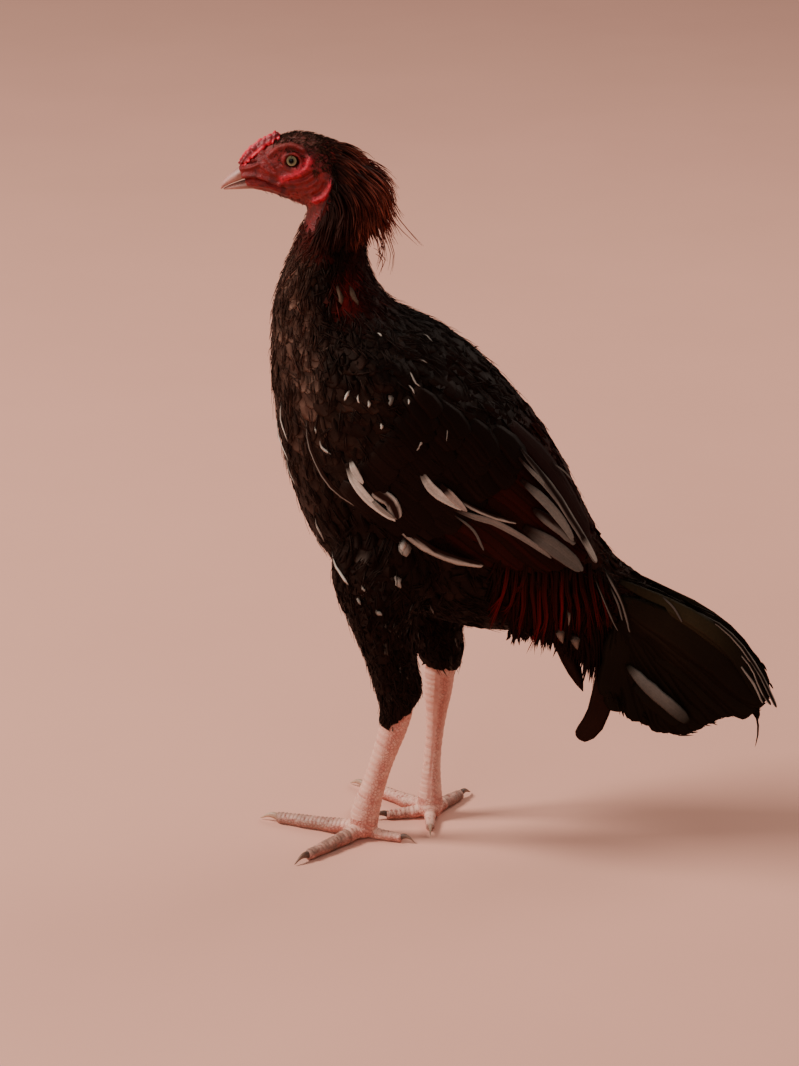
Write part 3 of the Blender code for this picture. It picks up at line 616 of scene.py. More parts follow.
@dataclass(frozen=True)
class HornFinish:
    """Horn of beak and claws, streaked along its growth and darker at the root."""

    name: str
    pale: Colour = (0.490, 0.225, 0.185)
    dark: Colour = (0.190, 0.075, 0.055)
    shade_share: float = 0.70
    streaks: Colour = (60.0, 260.0, 260.0)

    def build(self) -> bpy.types.Material:
        """The material: the pattern's first part runs from the root to the tip."""
        graph = Graph(self.name)
        along, _, _ = graph.pattern()
        at = graph.place()
        drawn = graph.add("ShaderNodeMapping", {}, {"Vector": at, "Scale": self.streaks})
        streak = graph.noise(drawn, 6.0, 4.0)
        cloud = graph.noise(at, 160.0, 3.0)
        share = (1.0 - along.band(0.0, 0.75)) * self.shade_share + streak.band(0.42, 0.72) * 0.40
        colour = graph.mix(share, self.pale, self.dark)
        colour = graph.shade(colour, cloud * 0.4 + 0.80)
        return graph.finish({"Base Color": colour, "Roughness": streak * 0.22 + 0.38,
                             "Normal": graph.bump(streak * 0.7 + cloud * 0.4, 0.0002, 0.6)},
                            flesh(0.06, (0.003, 0.0015, 0.001)))


@dataclass(frozen=True)
class EyeFinish:
    """The eye: black pupil, pale ringed iris, dark rim, wet and clear."""

    name: str
    centre: tuple[float, float, float]
    gaze: tuple[float, float, float]
    pupil: float = 0.0021
    iris: float = 0.0046
    pale: Colour = (0.330, 0.285, 0.155)
    inner: Colour = (0.120, 0.115, 0.065)
    rim: Colour = (0.014, 0.006, 0.005)
    black: Colour = (0.002, 0.002, 0.002)

    def build(self) -> bpy.types.Material:
        """The material: rings round the line of sight."""
        graph = Graph(self.name)
        at = graph.place()
        out = graph.vectors("SUBTRACT", {0: at, 1: self.centre})
        cross = graph.vectors("CROSS_PRODUCT", {0: out, 1: self.gaze})
        distance = graph.vectors("LENGTH", {0: cross}, "Value")
        ray = graph.noise(graph.vectors("NORMALIZE", {0: cross}), 9.0, 4.0)
        iris = graph.mix(distance.band(self.pupil, self.iris), self.inner, self.pale)
        iris = graph.shade(iris, ray * 0.9 + 0.55)
        colour = graph.mix(distance.band(self.iris * 0.90, self.iris), iris, self.rim)
        colour = graph.mix(distance.band(self.pupil, self.pupil * 1.12), self.black, colour)
        return graph.finish({"Base Color": colour},
                            {"Roughness": 0.07, "Specular IOR Level": 0.10})


@dataclass(frozen=True)
class LegFinish:
    """Scaled skin of the shanks and toes, pink with red and brown wear between the scutes, pale
    painted highlight on their faces and a painted shade band on the left shank's rear.
    """

    name: str = "leg_scales"
    # pale of the scutes' faces: partly their own colour, partly painted highlight
    pale: Colour = (0.790, 0.450, 0.350)
    pink: Colour = (0.610, 0.245, 0.190)
    red: Colour = (0.400, 0.095, 0.070)
    # dirt flecks, thicker near the floor; on the left shank's rear they also paint shade
    dirt_and_shade: Colour = (0.115, 0.050, 0.034)
    # wear of the toes; on the left shank's rear it paints shade
    worn_and_shade: Colour = (0.250, 0.125, 0.092)

    def build(self) -> bpy.types.Material:
        """The material: red between the scutes, pale on their backs partly as painted highlight,
        flecks of dirt, and the worn colour, which on the left shank's rear paints shade.
        """
        graph = Graph(self.name)
        at = graph.place()
        scute, front, low = graph.pattern()
        net = graph.cells(at, 330.0, "DISTANCE_TO_EDGE").band(0.0, 0.16)
        cloud = graph.noise(at, 70.0, 4.0, 0.6)
        fleck = graph.noise(at, 240.0, 4.0, 0.7)
        colour = graph.mix(cloud.band(0.40, 0.66), self.pink, self.pale)
        # pale on the shank's front and rear faces, the toes' tops and the right shank's stripe:
        # partly the scutes' own colour, partly painted highlight
        colour = graph.mix(front * 0.7, colour, self.pale)
        colour = graph.mix((1.0 - net) * (1.0 - front) * 0.60, colour, self.red)
        gap = (1.0 - scute.band(0.0, 0.26)) * front * (cloud.band(0.35, 0.6) * 0.35 + 0.25)
        colour = graph.mix(gap, colour, self.red)
        colour = graph.mix(fleck.band(0.58, 0.72) * (low * 0.95 + 0.22), colour, self.dirt_and_shade)
        colour = graph.mix(fleck.band(0.54, 0.62) * low * 0.6, colour, self.red)
        # worn colour where low passes 1: wear on the toes, and painted shade on the left shank's
        # rear below the thigh feathers
        wear = low.band(1.0, 2.0) * (cloud.band(0.35, 0.60) * 0.6 + 0.35)
        colour = graph.mix(wear, colour, self.worn_and_shade)
        colour = graph.mix(cloud.band(0.54, 0.70) * fleck.band(0.40, 0.60) * 0.40, colour, self.red)
        height = net * (1.0 - front) * 1.2 + cloud * 0.5 + fleck * 0.35
        return graph.finish({"Base Color": colour, "Roughness": fleck * 0.25 + 0.40,
                             "Normal": graph.bump(height, 0.0005, 0.8)},
                            {**flesh(0.08, (0.003, 0.001, 0.001)), "Specular IOR Level": 0.4})


@dataclass(frozen=True)
class FloorFinish:
    """A plain pale floor."""

    name: str = "floor_pale"
    colour: Colour = (0.770, 0.385, 0.295)

    def build(self) -> bpy.types.Material:
        """The material: matt, very slightly cloudy."""
        graph = Graph(self.name)
        cloud = graph.noise(graph.place(), 3.0, 4.0)
        colour = graph.shade(self.colour, cloud * 0.10 + 0.95)
        return graph.finish({"Base Color": colour}, {"Roughness": 0.9, "Specular IOR Level": 0.2})


# ---- forms that skin and feathers follow


class Form:
    """A surface that feathers lie on, with a place along it and a turn round it."""

    flow = -1.0
    places = 1.0

    def at(self, place: Array, turn: Array) -> Array:
        """Points of the surface."""
        raise NotImplementedError

    def heart(self, place: Array) -> Array:
        """The middle of the form at places."""
        raise NotImplementedError

    def outward(self, place: Array, turn: Array) -> Array:
        """Directions straight out of the surface."""
        here = self.at(place, turn)
        ahead = self.at(place + 0.04, turn) - here
        around = self.at(place, turn + 0.04) - here
        out = unit(np.cross(around, ahead))
        facing = np.sum(out * (here - self.heart(place)), axis=-1, keepdims=True)
        return np.where(facing < 0, -out, out)

    def speed(self, place: Array, turn: Array) -> Array:
        """Metres along the surface for one step of place."""
        step = self.at(place + 0.1, turn) - self.at(place - 0.1, turn)
        return np.maximum(np.linalg.norm(step, axis=-1) / 0.2, 1e-4)

    def spot(self, place: Array, turn: Array) -> Array:
        """Where a point lies on the unwrapped skin, from 0 to 1 both ways."""
        return np.stack((0.5 + turn / (2 * math.pi), place / self.places), axis=-1) * 0.96 + 0.02


@dataclass
class Trunk(Form):
    """Trunk, neck and head as ovals strung along the spine."""

    rows: Array = field(default_factory=lambda: np.array(TRUNK_ROWS))
    flow = -1.0
    places: float = 25.0

    def at(self, place: Array, turn: Array) -> Array:
        """Points of the surface: turn 0 is the back, negative turns the left side."""
        row = curve_row(self.rows, np.asarray(place, dtype=float))
        along = np.cos(turn)
        across = np.sin(turn) * (1 + row[..., 5] * along)
        x = (row[..., 0] + row[..., 2]) / 2 + (row[..., 0] - row[..., 2]) / 2 * along
        z = (row[..., 1] + row[..., 3]) / 2 + (row[..., 1] - row[..., 3]) / 2 * along
        return np.stack((x, row[..., 4] * across, z), axis=-1)

    def heart(self, place: Array) -> Array:
        """The spine."""
        row = curve_row(self.rows, np.asarray(place, dtype=float))
        return np.stack(((row[..., 0] + row[..., 2]) / 2, 0 * row[..., 0],
                         (row[..., 1] + row[..., 3]) / 2), axis=-1)


def tail_root() -> Trunk:
    """The tail's fleshy root."""
    return Trunk(np.array(TAIL_ROOT_ROWS), 5.0)


@dataclass
class Limb(Form):
    """A thigh or the like: rows of x, y, z, half depth and half width from the top down."""

    rows: Array
    flow = 1.0
    places: float = 6.0

    def heart(self, place: Array) -> Array:
        """The limb's middle line."""
        return curve_row(self.rows, np.asarray(place, dtype=float))[..., :3]

    def at(self, place: Array, turn: Array) -> Array:
        """Points of the surface: turn 0 is the front, and the turn grows towards +Y."""
        place = np.asarray(place, dtype=float)
        row = curve_row(self.rows, place)
        ahead = unit(self.heart(place + 0.1) - self.heart(place - 0.1))
        side = unit(np.array((0.0, 1.0, 0.0)) - ahead * ahead[..., 1:2])
        front = np.cross(side, ahead)
        front = np.where(front[..., 0:1] > 0, -front, front)
        return (row[..., :3] + front * (row[..., 3] * np.cos(turn))[..., None]
                + side * (row[..., 4] * np.sin(turn))[..., None])


@dataclass
class SideField:
    """How far the bird reaches sideways, as y for each point of the side view."""

    low: tuple[float, float] = (-0.240, 0.150)
    step: float = 0.003
    slope_gap: float = 0.004
    steepest: float = 1.2
    values: Array = field(default_factory=lambda: np.zeros((130, 130)))

    def cast(self, form: "Form", reach: float, rows: int, columns: int = 40) -> None:
        """Measures a form by rays from the side, where they hit.

        Args:
            form: The surface.
            reach: The last place measured.
            rows: How many rings of points stand for it.
            columns: How many points each half ring has.
        """
        places, turns = np.linspace(0, reach, rows), np.linspace(0, math.pi, columns)
        points = form.at(*np.meshgrid(places, turns, indexing="ij")).reshape(-1, 3)
        tree = BVHTree.FromPolygons([tuple(point) for point in points], grid_faces(rows, columns))
        for i, j in np.ndindex(self.values.shape):
            x, z = self.low[0] + i * self.step, self.low[1] + j * self.step
            hit = tree.ray_cast((x, 1.0, z), (0.0, -1.0, 0.0))[0]
            if hit is not None:
                self.values[i, j] = max(self.values[i, j], hit.y)

    def smooth(self, rounds: int) -> None:
        """Makes the field smooth, and nowhere lower than it was."""
        soft = self.values
        for _ in range(rounds):
            padded = np.pad(soft, 1, mode="edge")
            soft = (padded[:-2, 1:-1] + padded[2:, 1:-1] + padded[1:-1, :-2] + padded[1:-1, 2:]
                    + padded[1:-1, 1:-1]) / 5.0
            soft = np.maximum(soft, self.values)
        self.values = soft

    def y(self, x: Array, z: Array) -> Array:
        """The reach at points of the side view."""
        u = np.clip((x - self.low[0]) / self.step, 0, self.values.shape[0] - 2.001)
        v = np.clip((z - self.low[1]) / self.step, 0, self.values.shape[1] - 2.001)
        i, j = u.astype(int), v.astype(int)
        s, t = u - i, v - j
        grid = self.values
        return ((grid[i, j] * (1 - s) + grid[i + 1, j] * s) * (1 - t)
                + (grid[i, j + 1] * (1 - s) + grid[i + 1, j + 1] * s) * t)

    def outward(self, x: Array, z: Array, side: float) -> Array:
        """Directions straight out of the surface on one side of the bird."""
        gap = self.slope_gap
        fx = (self.y(x + gap, z) - self.y(x - gap, z)) / (2 * gap)
        fz = (self.y(x, z + gap) - self.y(x, z - gap)) / (2 * gap)
        fx, fz = np.clip((fx, fz), -self.steepest, self.steepest)
        return unit(np.stack((-fx, side * np.ones_like(fx), -fz), axis=-1))


# ---- feathers


@dataclass(frozen=True)
class VaneKind:
    """The outline and section of a kind of feather."""

    stations: tuple[float, ...]
    shares: tuple[float, ...]
    thickness: float = 0.0005
    camber: float = 0.22
    columns: int = 3

    def offsets(self) -> Array:
        """The points round a section, by their share of the half width."""
        over = np.linspace(-1, 1, self.columns)
        return np.concatenate((over, over[::-1][1:-1]))


# From which share of a small feather's length its edge and its tip take the rim's colour
EDGE_FROM = 0.35
TIP_FROM = 0.72

# Shares of a feather's length at which its heights over the surface are given
HEIGHT_PLACES = (0.0, 0.33, 0.66, 1.0)

BODY_FEATHER = VaneKind((0.0, 0.24, 0.48, 0.68, 0.84, 0.94, 1.0),
                        (0.30, 0.78, 1.0, 0.98, 0.82, 0.55, 0.16), 0.0002, 0.04, 4)
HACKLE = VaneKind((0.0, 0.2, 0.42, 0.64, 0.84, 1.0), (0.45, 0.90, 1.0, 0.80, 0.45, 0.04),
                  0.0005, 0.20)
PALE = VaneKind(HACKLE.stations, (0.30, 0.75, 1.0, 1.0, 0.72, 0.10), 0.0006, 0.15)
BRISTLE = VaneKind((0.0, 0.5, 1.0), (0.8, 1.0, 0.10), 0.0004, 0.0)
FLIGHT = VaneKind((0.0, 0.08, 0.18, 0.28, 0.38, 0.48, 0.58, 0.68, 0.78, 0.87, 0.94, 0.98, 1.0),
                  (0.30, 0.56, 0.78, 0.93, 1.0, 1.0, 0.98, 0.94, 0.86, 0.70, 0.48, 0.27, 0.06),
                  0.0005, 0.05, 7)
COVERT = VaneKind((0.0, 0.18, 0.38, 0.58, 0.76, 0.89, 0.97, 1.0),
                  (0.45, 0.78, 0.96, 1.0, 0.92, 0.70, 0.38, 0.10), 0.0004, 0.05, 6)


@dataclass
class Coat:
    """Feathers gathered to be made as one closed-shell mesh for each group."""

    name: str
    points: list[Array] = field(default_factory=list)
    faces: list[Array] = field(default_factory=list)
    caps: list[Array] = field(default_factory=list)
    tints: list[Array] = field(default_factory=list)
    vanes: list[Array] = field(default_factory=list)
    spots: list[Array] = field(default_factory=list)
    count: int = 0
    feathers: int = 0

    def lay(self, kind: VaneKind, middle: Array, out: Array, half_width: Array, tint: Array,
            rim: Array | None = None, spot: Array | None = None, roll: Array | float = 0.0,
            ragged: float = 0.0, draw: np.random.Generator | None = None,
            patch: float = 0.003) -> None:
        """Adds feathers along given middle lines.

        Args:
            kind: The feathers' outline and section.
            middle: Their middle lines, as (feathers, stations, 3).
            out: Directions out of the plumage there.
            half_width: Half the greatest width of each.
            tint: Colours, as (feathers, stations, 3), or one for each feather.
            rim: Colours of the edges, or none where they match.
            spot: Each root's place on the unwrapped skin.
            roll: Turn of each feather about its own line, in radians.
            ragged: How uneven the edges are, as a share of the width.
            draw: The random source for uneven edges.
            patch: The size of each feather's patch on the map.
        """
        number, stations = middle.shape[:2]
        if tint.ndim == 2:
            tint = np.repeat(tint[:, None, :], stations, axis=1)
        ahead = unit(np.gradient(middle, axis=1))
        across = unit(np.cross(ahead, out))
        up = np.cross(across, ahead)
        turn = np.broadcast_to(np.asarray(roll, dtype=float).reshape(-1, 1, 1), (number, 1, 1))
        across, up = (across * np.cos(turn) + up * np.sin(turn),
                      up * np.cos(turn) - across * np.sin(turn))
        offsets = kind.offsets()
        face = np.ones(kind.columns - 2)
        upper = np.concatenate((np.zeros(1), face, np.zeros(1), -face))
        rings = len(offsets)
        share = np.array(kind.shares)[None, :, None]
        wide = np.asarray(half_width).reshape(-1, 1, 1) * share * np.abs(offsets)[None, None, :]
        if ragged > 0 and draw is not None:
            notch = 1.0 - ragged * draw.random((number, stations, 2)) ** 2
            side = np.where(offsets < 0, 0, 1)
            wide = wide * notch[:, :, side]
        wide = wide * np.sign(offsets)[None, None, :]
        body = kind.thickness * (0.35 + 0.65 * share) * (0.4 + 0.6 * (1 - np.abs(offsets)))
        rise = upper * body / 2 - kind.camber * np.abs(wide) * np.abs(offsets)
        shell = (middle[:, :, None, :] + across[:, :, None, :] * wide[..., None]
                 + up[:, :, None, :] * rise[..., None])
        colour = np.repeat(tint[:, :, None, :], rings, axis=2).astype(float)
        if rim is not None:
            near = (np.abs(offsets) ** 2)[None, None, :, None]
            t = np.array(kind.stations)[None, :, None, None]
            far = np.clip((t - TIP_FROM) / (1 - TIP_FROM), 0, 1)
            edge = np.clip(near * 0.9 * (t > EDGE_FROM) + far, 0, 1)
            colour = colour * (1 - edge) + rim[:, None, None, :] * edge
        along = np.broadcast_to(np.array(kind.stations)[None, :, None], (number, stations, rings))
        cross = np.broadcast_to(((offsets + 1) / 2)[None, None, :], (number, stations, rings))
        vane = np.stack((along, cross), axis=-1)
        if spot is None:
            spot = np.full((number, 2), 0.5)
        where = spot[:, None, None, :] + patch * (vane - 0.5)
        index = self.count + np.arange(number * stations * rings).reshape(number, stations, rings)
        near_ring, far_ring = index[:, :-1, :], index[:, 1:, :]
        quads = np.stack((near_ring, np.roll(near_ring, -1, axis=2),
                          np.roll(far_ring, -1, axis=2), far_ring), axis=-1)
        self.faces.append(quads.reshape(-1, 4))
        self.caps.append(index[:, 0, ::-1].reshape(-1, rings))
        self.caps.append(index[:, -1, :].reshape(-1, rings))
        self.points.append(shell.reshape(-1, 3))
        self.tints.append(colour.reshape(-1, 3))
        self.vanes.append(vane.reshape(-1, 2))
        self.spots.append(np.clip(where.reshape(-1, 2), 0.0, 1.0))
        self.count += number * stations * rings
        self.feathers += number

    def make(self, finish: bpy.types.Material) -> bpy.types.Object:
        """Makes the mesh object of all the feathers laid so far."""
        points = np.concatenate(self.points)
        corners = np.concatenate([rows.ravel() for rows in self.faces + self.caps])
        sizes = np.concatenate([np.full(len(rows), rows.shape[1])
                                for rows in self.faces + self.caps])
        starts = np.concatenate(((0,), np.cumsum(sizes)[:-1]))
        mesh = bpy.data.meshes.new(self.name)
        mesh.vertices.add(len(points))
        mesh.vertices.foreach_set("co", (points + SHIFT).astype(np.float32).ravel())
        mesh.loops.add(len(corners))
        mesh.loops.foreach_set("vertex_index", corners.astype(np.int32))
        mesh.polygons.add(len(starts))
        mesh.polygons.foreach_set("loop_start", starts.astype(np.int32))
        mesh.polygons.foreach_set("use_smooth", np.ones(len(starts), dtype=bool))
        mesh.update(calc_edges=True)
        for name, rows in (("Vane", self.vanes), ("OFBake", self.spots)):
            layer = mesh.uv_layers.new(name=name)
            layer.data.foreach_set("uv", np.concatenate(rows)[corners].astype(np.float32).ravel())
        colours = np.concatenate(self.tints)
        tint = mesh.color_attributes.new(name="Tint", type="FLOAT_COLOR", domain="POINT")
        full = np.concatenate((np.clip(colours, 0.0, 1.0), np.ones((len(colours), 1))), axis=1)
        tint.data.foreach_set("color", full.astype(np.float32).ravel())
        mesh.materials.append(finish)
        made = bpy.data.objects.new(self.name, mesh)
        bpy.context.scene.collection.objects.link(made)
        triangles = int(sum(len(rows) * (rows.shape[1] - 2) for rows in self.faces + self.caps))
        log.info("%s: %d feathers, %d triangles", self.name, self.feathers, triangles)
        return made


@dataclass(frozen=True)
class Plumage:
    """The plumage's colours, from one feather to the next."""

    black: Colour = (0.0040, 0.0016, 0.0012)
    brown: Colour = (0.0350, 0.0130, 0.0090)
    green: Colour = (0.0085, 0.0068, 0.0034)
    mahogany: Colour = (0.130, 0.0080, 0.0060)
    blood: Colour = (0.100, 0.0040, 0.0045)
    scarlet: Colour = (0.150, 0.0036, 0.0055)
    rust: Colour = (0.200, 0.0340, 0.0160)
    # grey of the rims on the breast and shoulder: partly the feathers' own pale edging, partly
    # painted sheen
    grey: Colour = (0.140, 0.082, 0.060)
    dull: Colour = (0.300, 0.240, 0.200)
    white: Colour = (0.700, 0.620, 0.540)

    def blend(self, first: Colour | Array, second: Colour | Array, share: Array) -> Array:
        """Two colours blended by shares, which are cut to 0 to 1."""
        share = np.clip(np.asarray(share), 0, 1)[..., None]
        return np.array(first) * (1 - share) + np.array(second) * share

    def varied(self, colours: Array, draw: np.random.Generator, spread: float = 0.22) -> Array:
        """Colours made a little lighter or darker, feather by feather."""
        return colours * np.exp(draw.normal(0.0, spread, colours.shape[:1]))[:, None]

    def dark(self, other: Colour, share: float, draw: np.random.Generator,
             spread: float = 0.22) -> Array:
        """One feather's black with a share of another colour, made a little lighter or darker."""
        return self.varied(self.blend(self.black, other, np.array([share])), draw, spread)[0]


def surface_paths(form: Form, place: Array, turn: Array, length: Array, drift: Array,
                  stations: tuple[float, ...], heights: tuple[float, ...],
                  lift: Array) -> tuple[Array, Array]:
    """Middle lines of feathers that lie along a form.

    Args:
        form: The surface.
        place: Each root's place.
        turn: Each root's turn.
        length: Each feather's length in metres.
        drift: How far each turns round the form on its way, in radians.
        stations: Shares of the length at which points are wanted.
        heights: Heights over the surface at the root, a third, two thirds and the tip.
        lift: A factor on the heights for each feather.

    Returns:
        The points and the outward directions, each as (feathers, stations, 3).
    """
    t = np.array(stations)[None, :]
    run = (length / form.speed(place, turn))[:, None]
    places = np.clip(place[:, None] + form.flow * run * t, -0.4, form.places)
    turns = turn[:, None] + drift[:, None] * t
    out = form.outward(places, turns)
    rise = np.interp(t, HEIGHT_PLACES, heights) * np.where(t > 0.05, lift[:, None], 1.0)
    return form.at(places, turns) + out * rise[..., None], out


# ---- the parts of the bird


class Side(enum.Enum):
    """The bird's two sides, by the sign of y."""

    LEFT = -1
    RIGHT = 1

    @property
    def word(self) -> str:
        """The side's name as the pieces' names have it."""
        return self.name.lower()


@dataclass(frozen=True)
class Fold:
    """A fold or groove of the face: its line in the side view, its width and its height."""

    line: Line
    width: float
    height: float


@dataclass
class Skin:
    """One skin for trunk, neck, head and thighs, under the coat by its depth."""

    trunk: Trunk
    ring_points: int = 48
    fine: int = 3
    throat_from: float = 15.0
    folds: tuple[Fold, ...] = (
        # brow, lower lid, bright fold under and behind the eye, folds of the cheek
        Fold(((-0.2080, 0.6420), (-0.2020, 0.6475), (-0.1945, 0.6508), (-0.1865, 0.6512),
              (-0.1780, 0.6480)), 0.0017, 0.0030),
        Fold(((-0.1985, 0.6345), (-0.1930, 0.6305), (-0.1870, 0.6295), (-0.1815, 0.6312)),
             0.0012, 0.0012),
        Fold(((-0.1965, 0.6235), (-0.1880, 0.6262), (-0.1800, 0.6300), (-0.1750, 0.6350),
              (-0.1722, 0.6410)), 0.0034, 0.0022),
        Fold(((-0.1990, 0.6185), (-0.1890, 0.6190), (-0.1800, 0.6210), (-0.1715, 0.6250)),
             0.0018, 0.0017),
        Fold(((-0.1900, 0.6212), (-0.1800, 0.6232), (-0.1712, 0.6290)), 0.0012, -0.0018),
        Fold(((-0.1930, 0.6130), (-0.1830, 0.6140), (-0.1730, 0.6170), (-0.1670, 0.6220)),
             0.0016, 0.0013),
        Fold(((-0.1890, 0.6075), (-0.1800, 0.6085), (-0.1720, 0.6110)), 0.0016, 0.0012),
        Fold(((-0.2150, 0.6330), (-0.2090, 0.6290), (-0.2030, 0.6265)), 0.0015, 0.0014),
        Fold(((-0.2120, 0.6400), (-0.2070, 0.6360), (-0.2040, 0.6310)), 0.0014, 0.0012),
        # lip over the mouth, the mouth's line, jaw
        Fold(((-0.2310, 0.6232), (-0.2210, 0.6240), (-0.2090, 0.6210), (-0.1985, 0.6165)),
             0.0015, 0.0022),
        Fold(((-0.2300, 0.6200), (-0.2230, 0.6212), (-0.2130, 0.6188), (-0.2040, 0.6150),
              (-0.1950, 0.6125)), 0.0010, -0.0026),
        Fold(((-0.2260, 0.6160), (-0.2140, 0.6150), (-0.2020, 0.6110), (-0.1930, 0.6070)),
             0.0019, 0.0016),
        # cere over the nostril, the nostril's slit and the fold under it
        Fold(((-0.2370, 0.6325), (-0.2290, 0.6385), (-0.2220, 0.6415), (-0.2140, 0.6440)),
             0.0018, 0.0028),
        Fold(((-0.2340, 0.6318), (-0.2280, 0.6342), (-0.2205, 0.6360)), 0.0009, -0.0026),
        Fold(((-0.2330, 0.6285), (-0.2250, 0.6305), (-0.2170, 0.6340)), 0.0013, 0.0021),
        # ear, ear lobe, throat
        Fold(((-0.1715, 0.6320), (-0.1685, 0.6325), (-0.1670, 0.6290), (-0.1700, 0.6270)),
             0.0013, 0.0012),
        Fold(((-0.1545, 0.6200), (-0.1565, 0.6140), (-0.1610, 0.6080), (-0.1690, 0.6035)),
             0.0023, 0.0032),
        Fold(((-0.1605, 0.6200), (-0.1635, 0.6130), (-0.1700, 0.6085)), 0.0016, -0.0018),
        Fold(((-0.2000, 0.6030), (-0.1900, 0.5995), (-0.1800, 0.5975)), 0.0026, 0.0018),
    )
    # the half opening between the lids, how high the lids stand and how deep socket and furrow are
    socket: tuple[float, float] = (0.0063, 0.0054)
    lid_height: float = 0.0017
    socket_depth: float = 0.0052
    furrow_depth: float = 0.0012
    # x and z from which the head's faces are cut finer, smoothed and shaped
    cut_from: tuple[float, float] = (-0.138, 0.584)
    smooth_from: tuple[float, float] = (-0.143, 0.588)
    shape_from: tuple[float, float] = (-0.140, 0.588)
    flush_and_highlight_lines: tuple[tuple[Line, float], ...] = (
        # where the skin is brightest, partly its own crimson and partly painted highlight: under
        # and behind the eye, the ear lobe, over the nostril
        (((-0.1965, 0.6222), (-0.1900, 0.6248), (-0.1840, 0.6280), (-0.1780, 0.6330),
          (-0.1742, 0.6390)), 0.0042),
        (((-0.1545, 0.6205), (-0.1560, 0.6140), (-0.1610, 0.6075), (-0.1690, 0.6035)), 0.0030),
        (((-0.2370, 0.6325), (-0.2290, 0.6385), (-0.2220, 0.6415)), 0.0018),
    )

    def depth(self, place: Array) -> Array:
        """How far the skin lies under the coat's surface at places."""
        return np.interp(place, (0.0, 2.0, 11.0, 14.0, 17.0, 18.6, FACE_PLACE, 20.5),
                         (0.002, 0.005, 0.006, 0.004, 0.003, 0.0022, 0.001, 0.0))

    def build(self, finish: bpy.types.Material) -> bpy.types.Object:
        """Models the skin.

        Args:
            finish: The skin's material.

        Returns:
            The skin as one object.
        """
        places = np.concatenate((np.arange(0.0, 17.0, 0.5), np.arange(17.0, 25.01, 0.25)))
        place, turn = ring_grid(places, self.ring_points)
        throat = (np.clip((-np.cos(turn) - 0.2) / 0.4, 0, 1)
                  * np.clip((place - self.throat_from) / 0.8, 0, 1))
        inset = (self.depth(place) * (1 - 0.9 * throat))[..., None]
        rings = self.trunk.at(place, turn) - self.trunk.outward(place, turn) * inset
        body = tube("skin_trunk", rings)
        self.refine_head(body)
        self.sculpt(body)
        pieces = [body] + [self.thigh(side) for side in Side]
        for piece in pieces:
            self.dress(piece)
        made = joined(pieces, "skin")
        finish_piece(made, finish)
        return made

    def refine_head(self, body: bpy.types.Object) -> None:
        """Cuts the head's faces finer, so that folds can be shaped."""
        take(body)
        bpy.ops.object.mode_set(mode="EDIT")
        bpy.ops.mesh.select_all(action="DESELECT")
        mesh = bmesh.from_edit_mesh(body.data)
        for face in mesh.faces:
            middle = face.calc_center_median()
            ahead = middle.x < self.cut_from[0] and middle.z > self.cut_from[1]
            face.select_set(ahead and len(face.verts) == 4)
        bmesh.update_edit_mesh(body.data)
        bpy.ops.mesh.subdivide(number_cuts=self.fine, smoothness=0.0)
        bpy.ops.object.mode_set(mode="OBJECT")
        points = points_of(body)
        ahead = (points[:, 0] < self.smooth_from[0]) & (points[:, 2] > self.smooth_from[1])
        inner = np.flatnonzero(ahead)
        body.vertex_groups.new(name="head").add([int(i) for i in inner], 1.0, "REPLACE")
        apply_modifier(body, "SMOOTH", factor=0.5, iterations=24, vertex_group="head")

    def sculpt(self, body: bpy.types.Object) -> None:
        """Raises the folds, sinks the grooves and opens the sockets."""
        bpy.context.view_layer.update()
        points = points_of(body)
        normals = normals_of(body)
        head = (points[:, 0] < self.shape_from[0]) & (points[:, 2] > self.shape_from[1])
        spots = points[:, (0, 2)]
        move = np.zeros(len(points))
        side = np.clip(np.abs(normals[:, 1]) * 1.6, 0, 1)
        for fold in self.folds:
            near = ridge(spots[head], np.array(fold.line), fold.width)
            move[head] += near * fold.height * side[head]
        out = spots - EYE_CENTRE[[0, 2]]
        reach = np.sqrt((out[:, 0] / self.socket[0]) ** 2 + (out[:, 1] / self.socket[1]) ** 2)
        hollow = np.exp(-(reach / 0.90) ** 8)
        lid = np.exp(-((reach - 1.22) / 0.20) ** 2)
        lid = lid * (1 + 0.35 * np.clip(out[:, 1] / 0.004, -0.5, 1))
        outer = np.exp(-((reach - 1.75) / 0.24) ** 2)
        flat = np.where(head & (side > 0.4), 1.0, 0.0)
        lid = lid * self.lid_height * np.clip(0.75 + out[:, 1] / 0.009, 0.35, 1.3)
        move += flat * (lid - hollow * self.socket_depth - outer * self.furrow_depth)
        x, z = spots.T
        waves = np.sin(x * 900 + 3 * np.sin(z * 520)) * np.sin(z * 760 + 1.0)
        grain = np.sin(x * 2100 + 2 * np.sin(z * 1300)) * np.sin(z * 1900 + 2 * waves)
        wrinkles = (waves * 0.00022 + grain * 0.00005) * side * np.clip(reach - 1.0, 0, 1)
        move += np.where(head, wrinkles, 0.0)
        move_points(body, points + normals * move[:, None])

    def thigh(self, side: Side) -> bpy.types.Object:
        """The thigh under its feathers."""
        form = thigh_form(side)
        last = 4.9 if side is Side.LEFT else 4.45
        place, turn = ring_grid(np.linspace(0.0, last, 11), 24)
        inset = np.interp(place, (0.0, 3.0, 4.9), (0.006, 0.0045, 0.0045))[..., None]
        piece = tube("skin_thigh", form.at(place, turn) - form.outward(place, turn) * inset)
        subdivided(piece, 1)
        return piece

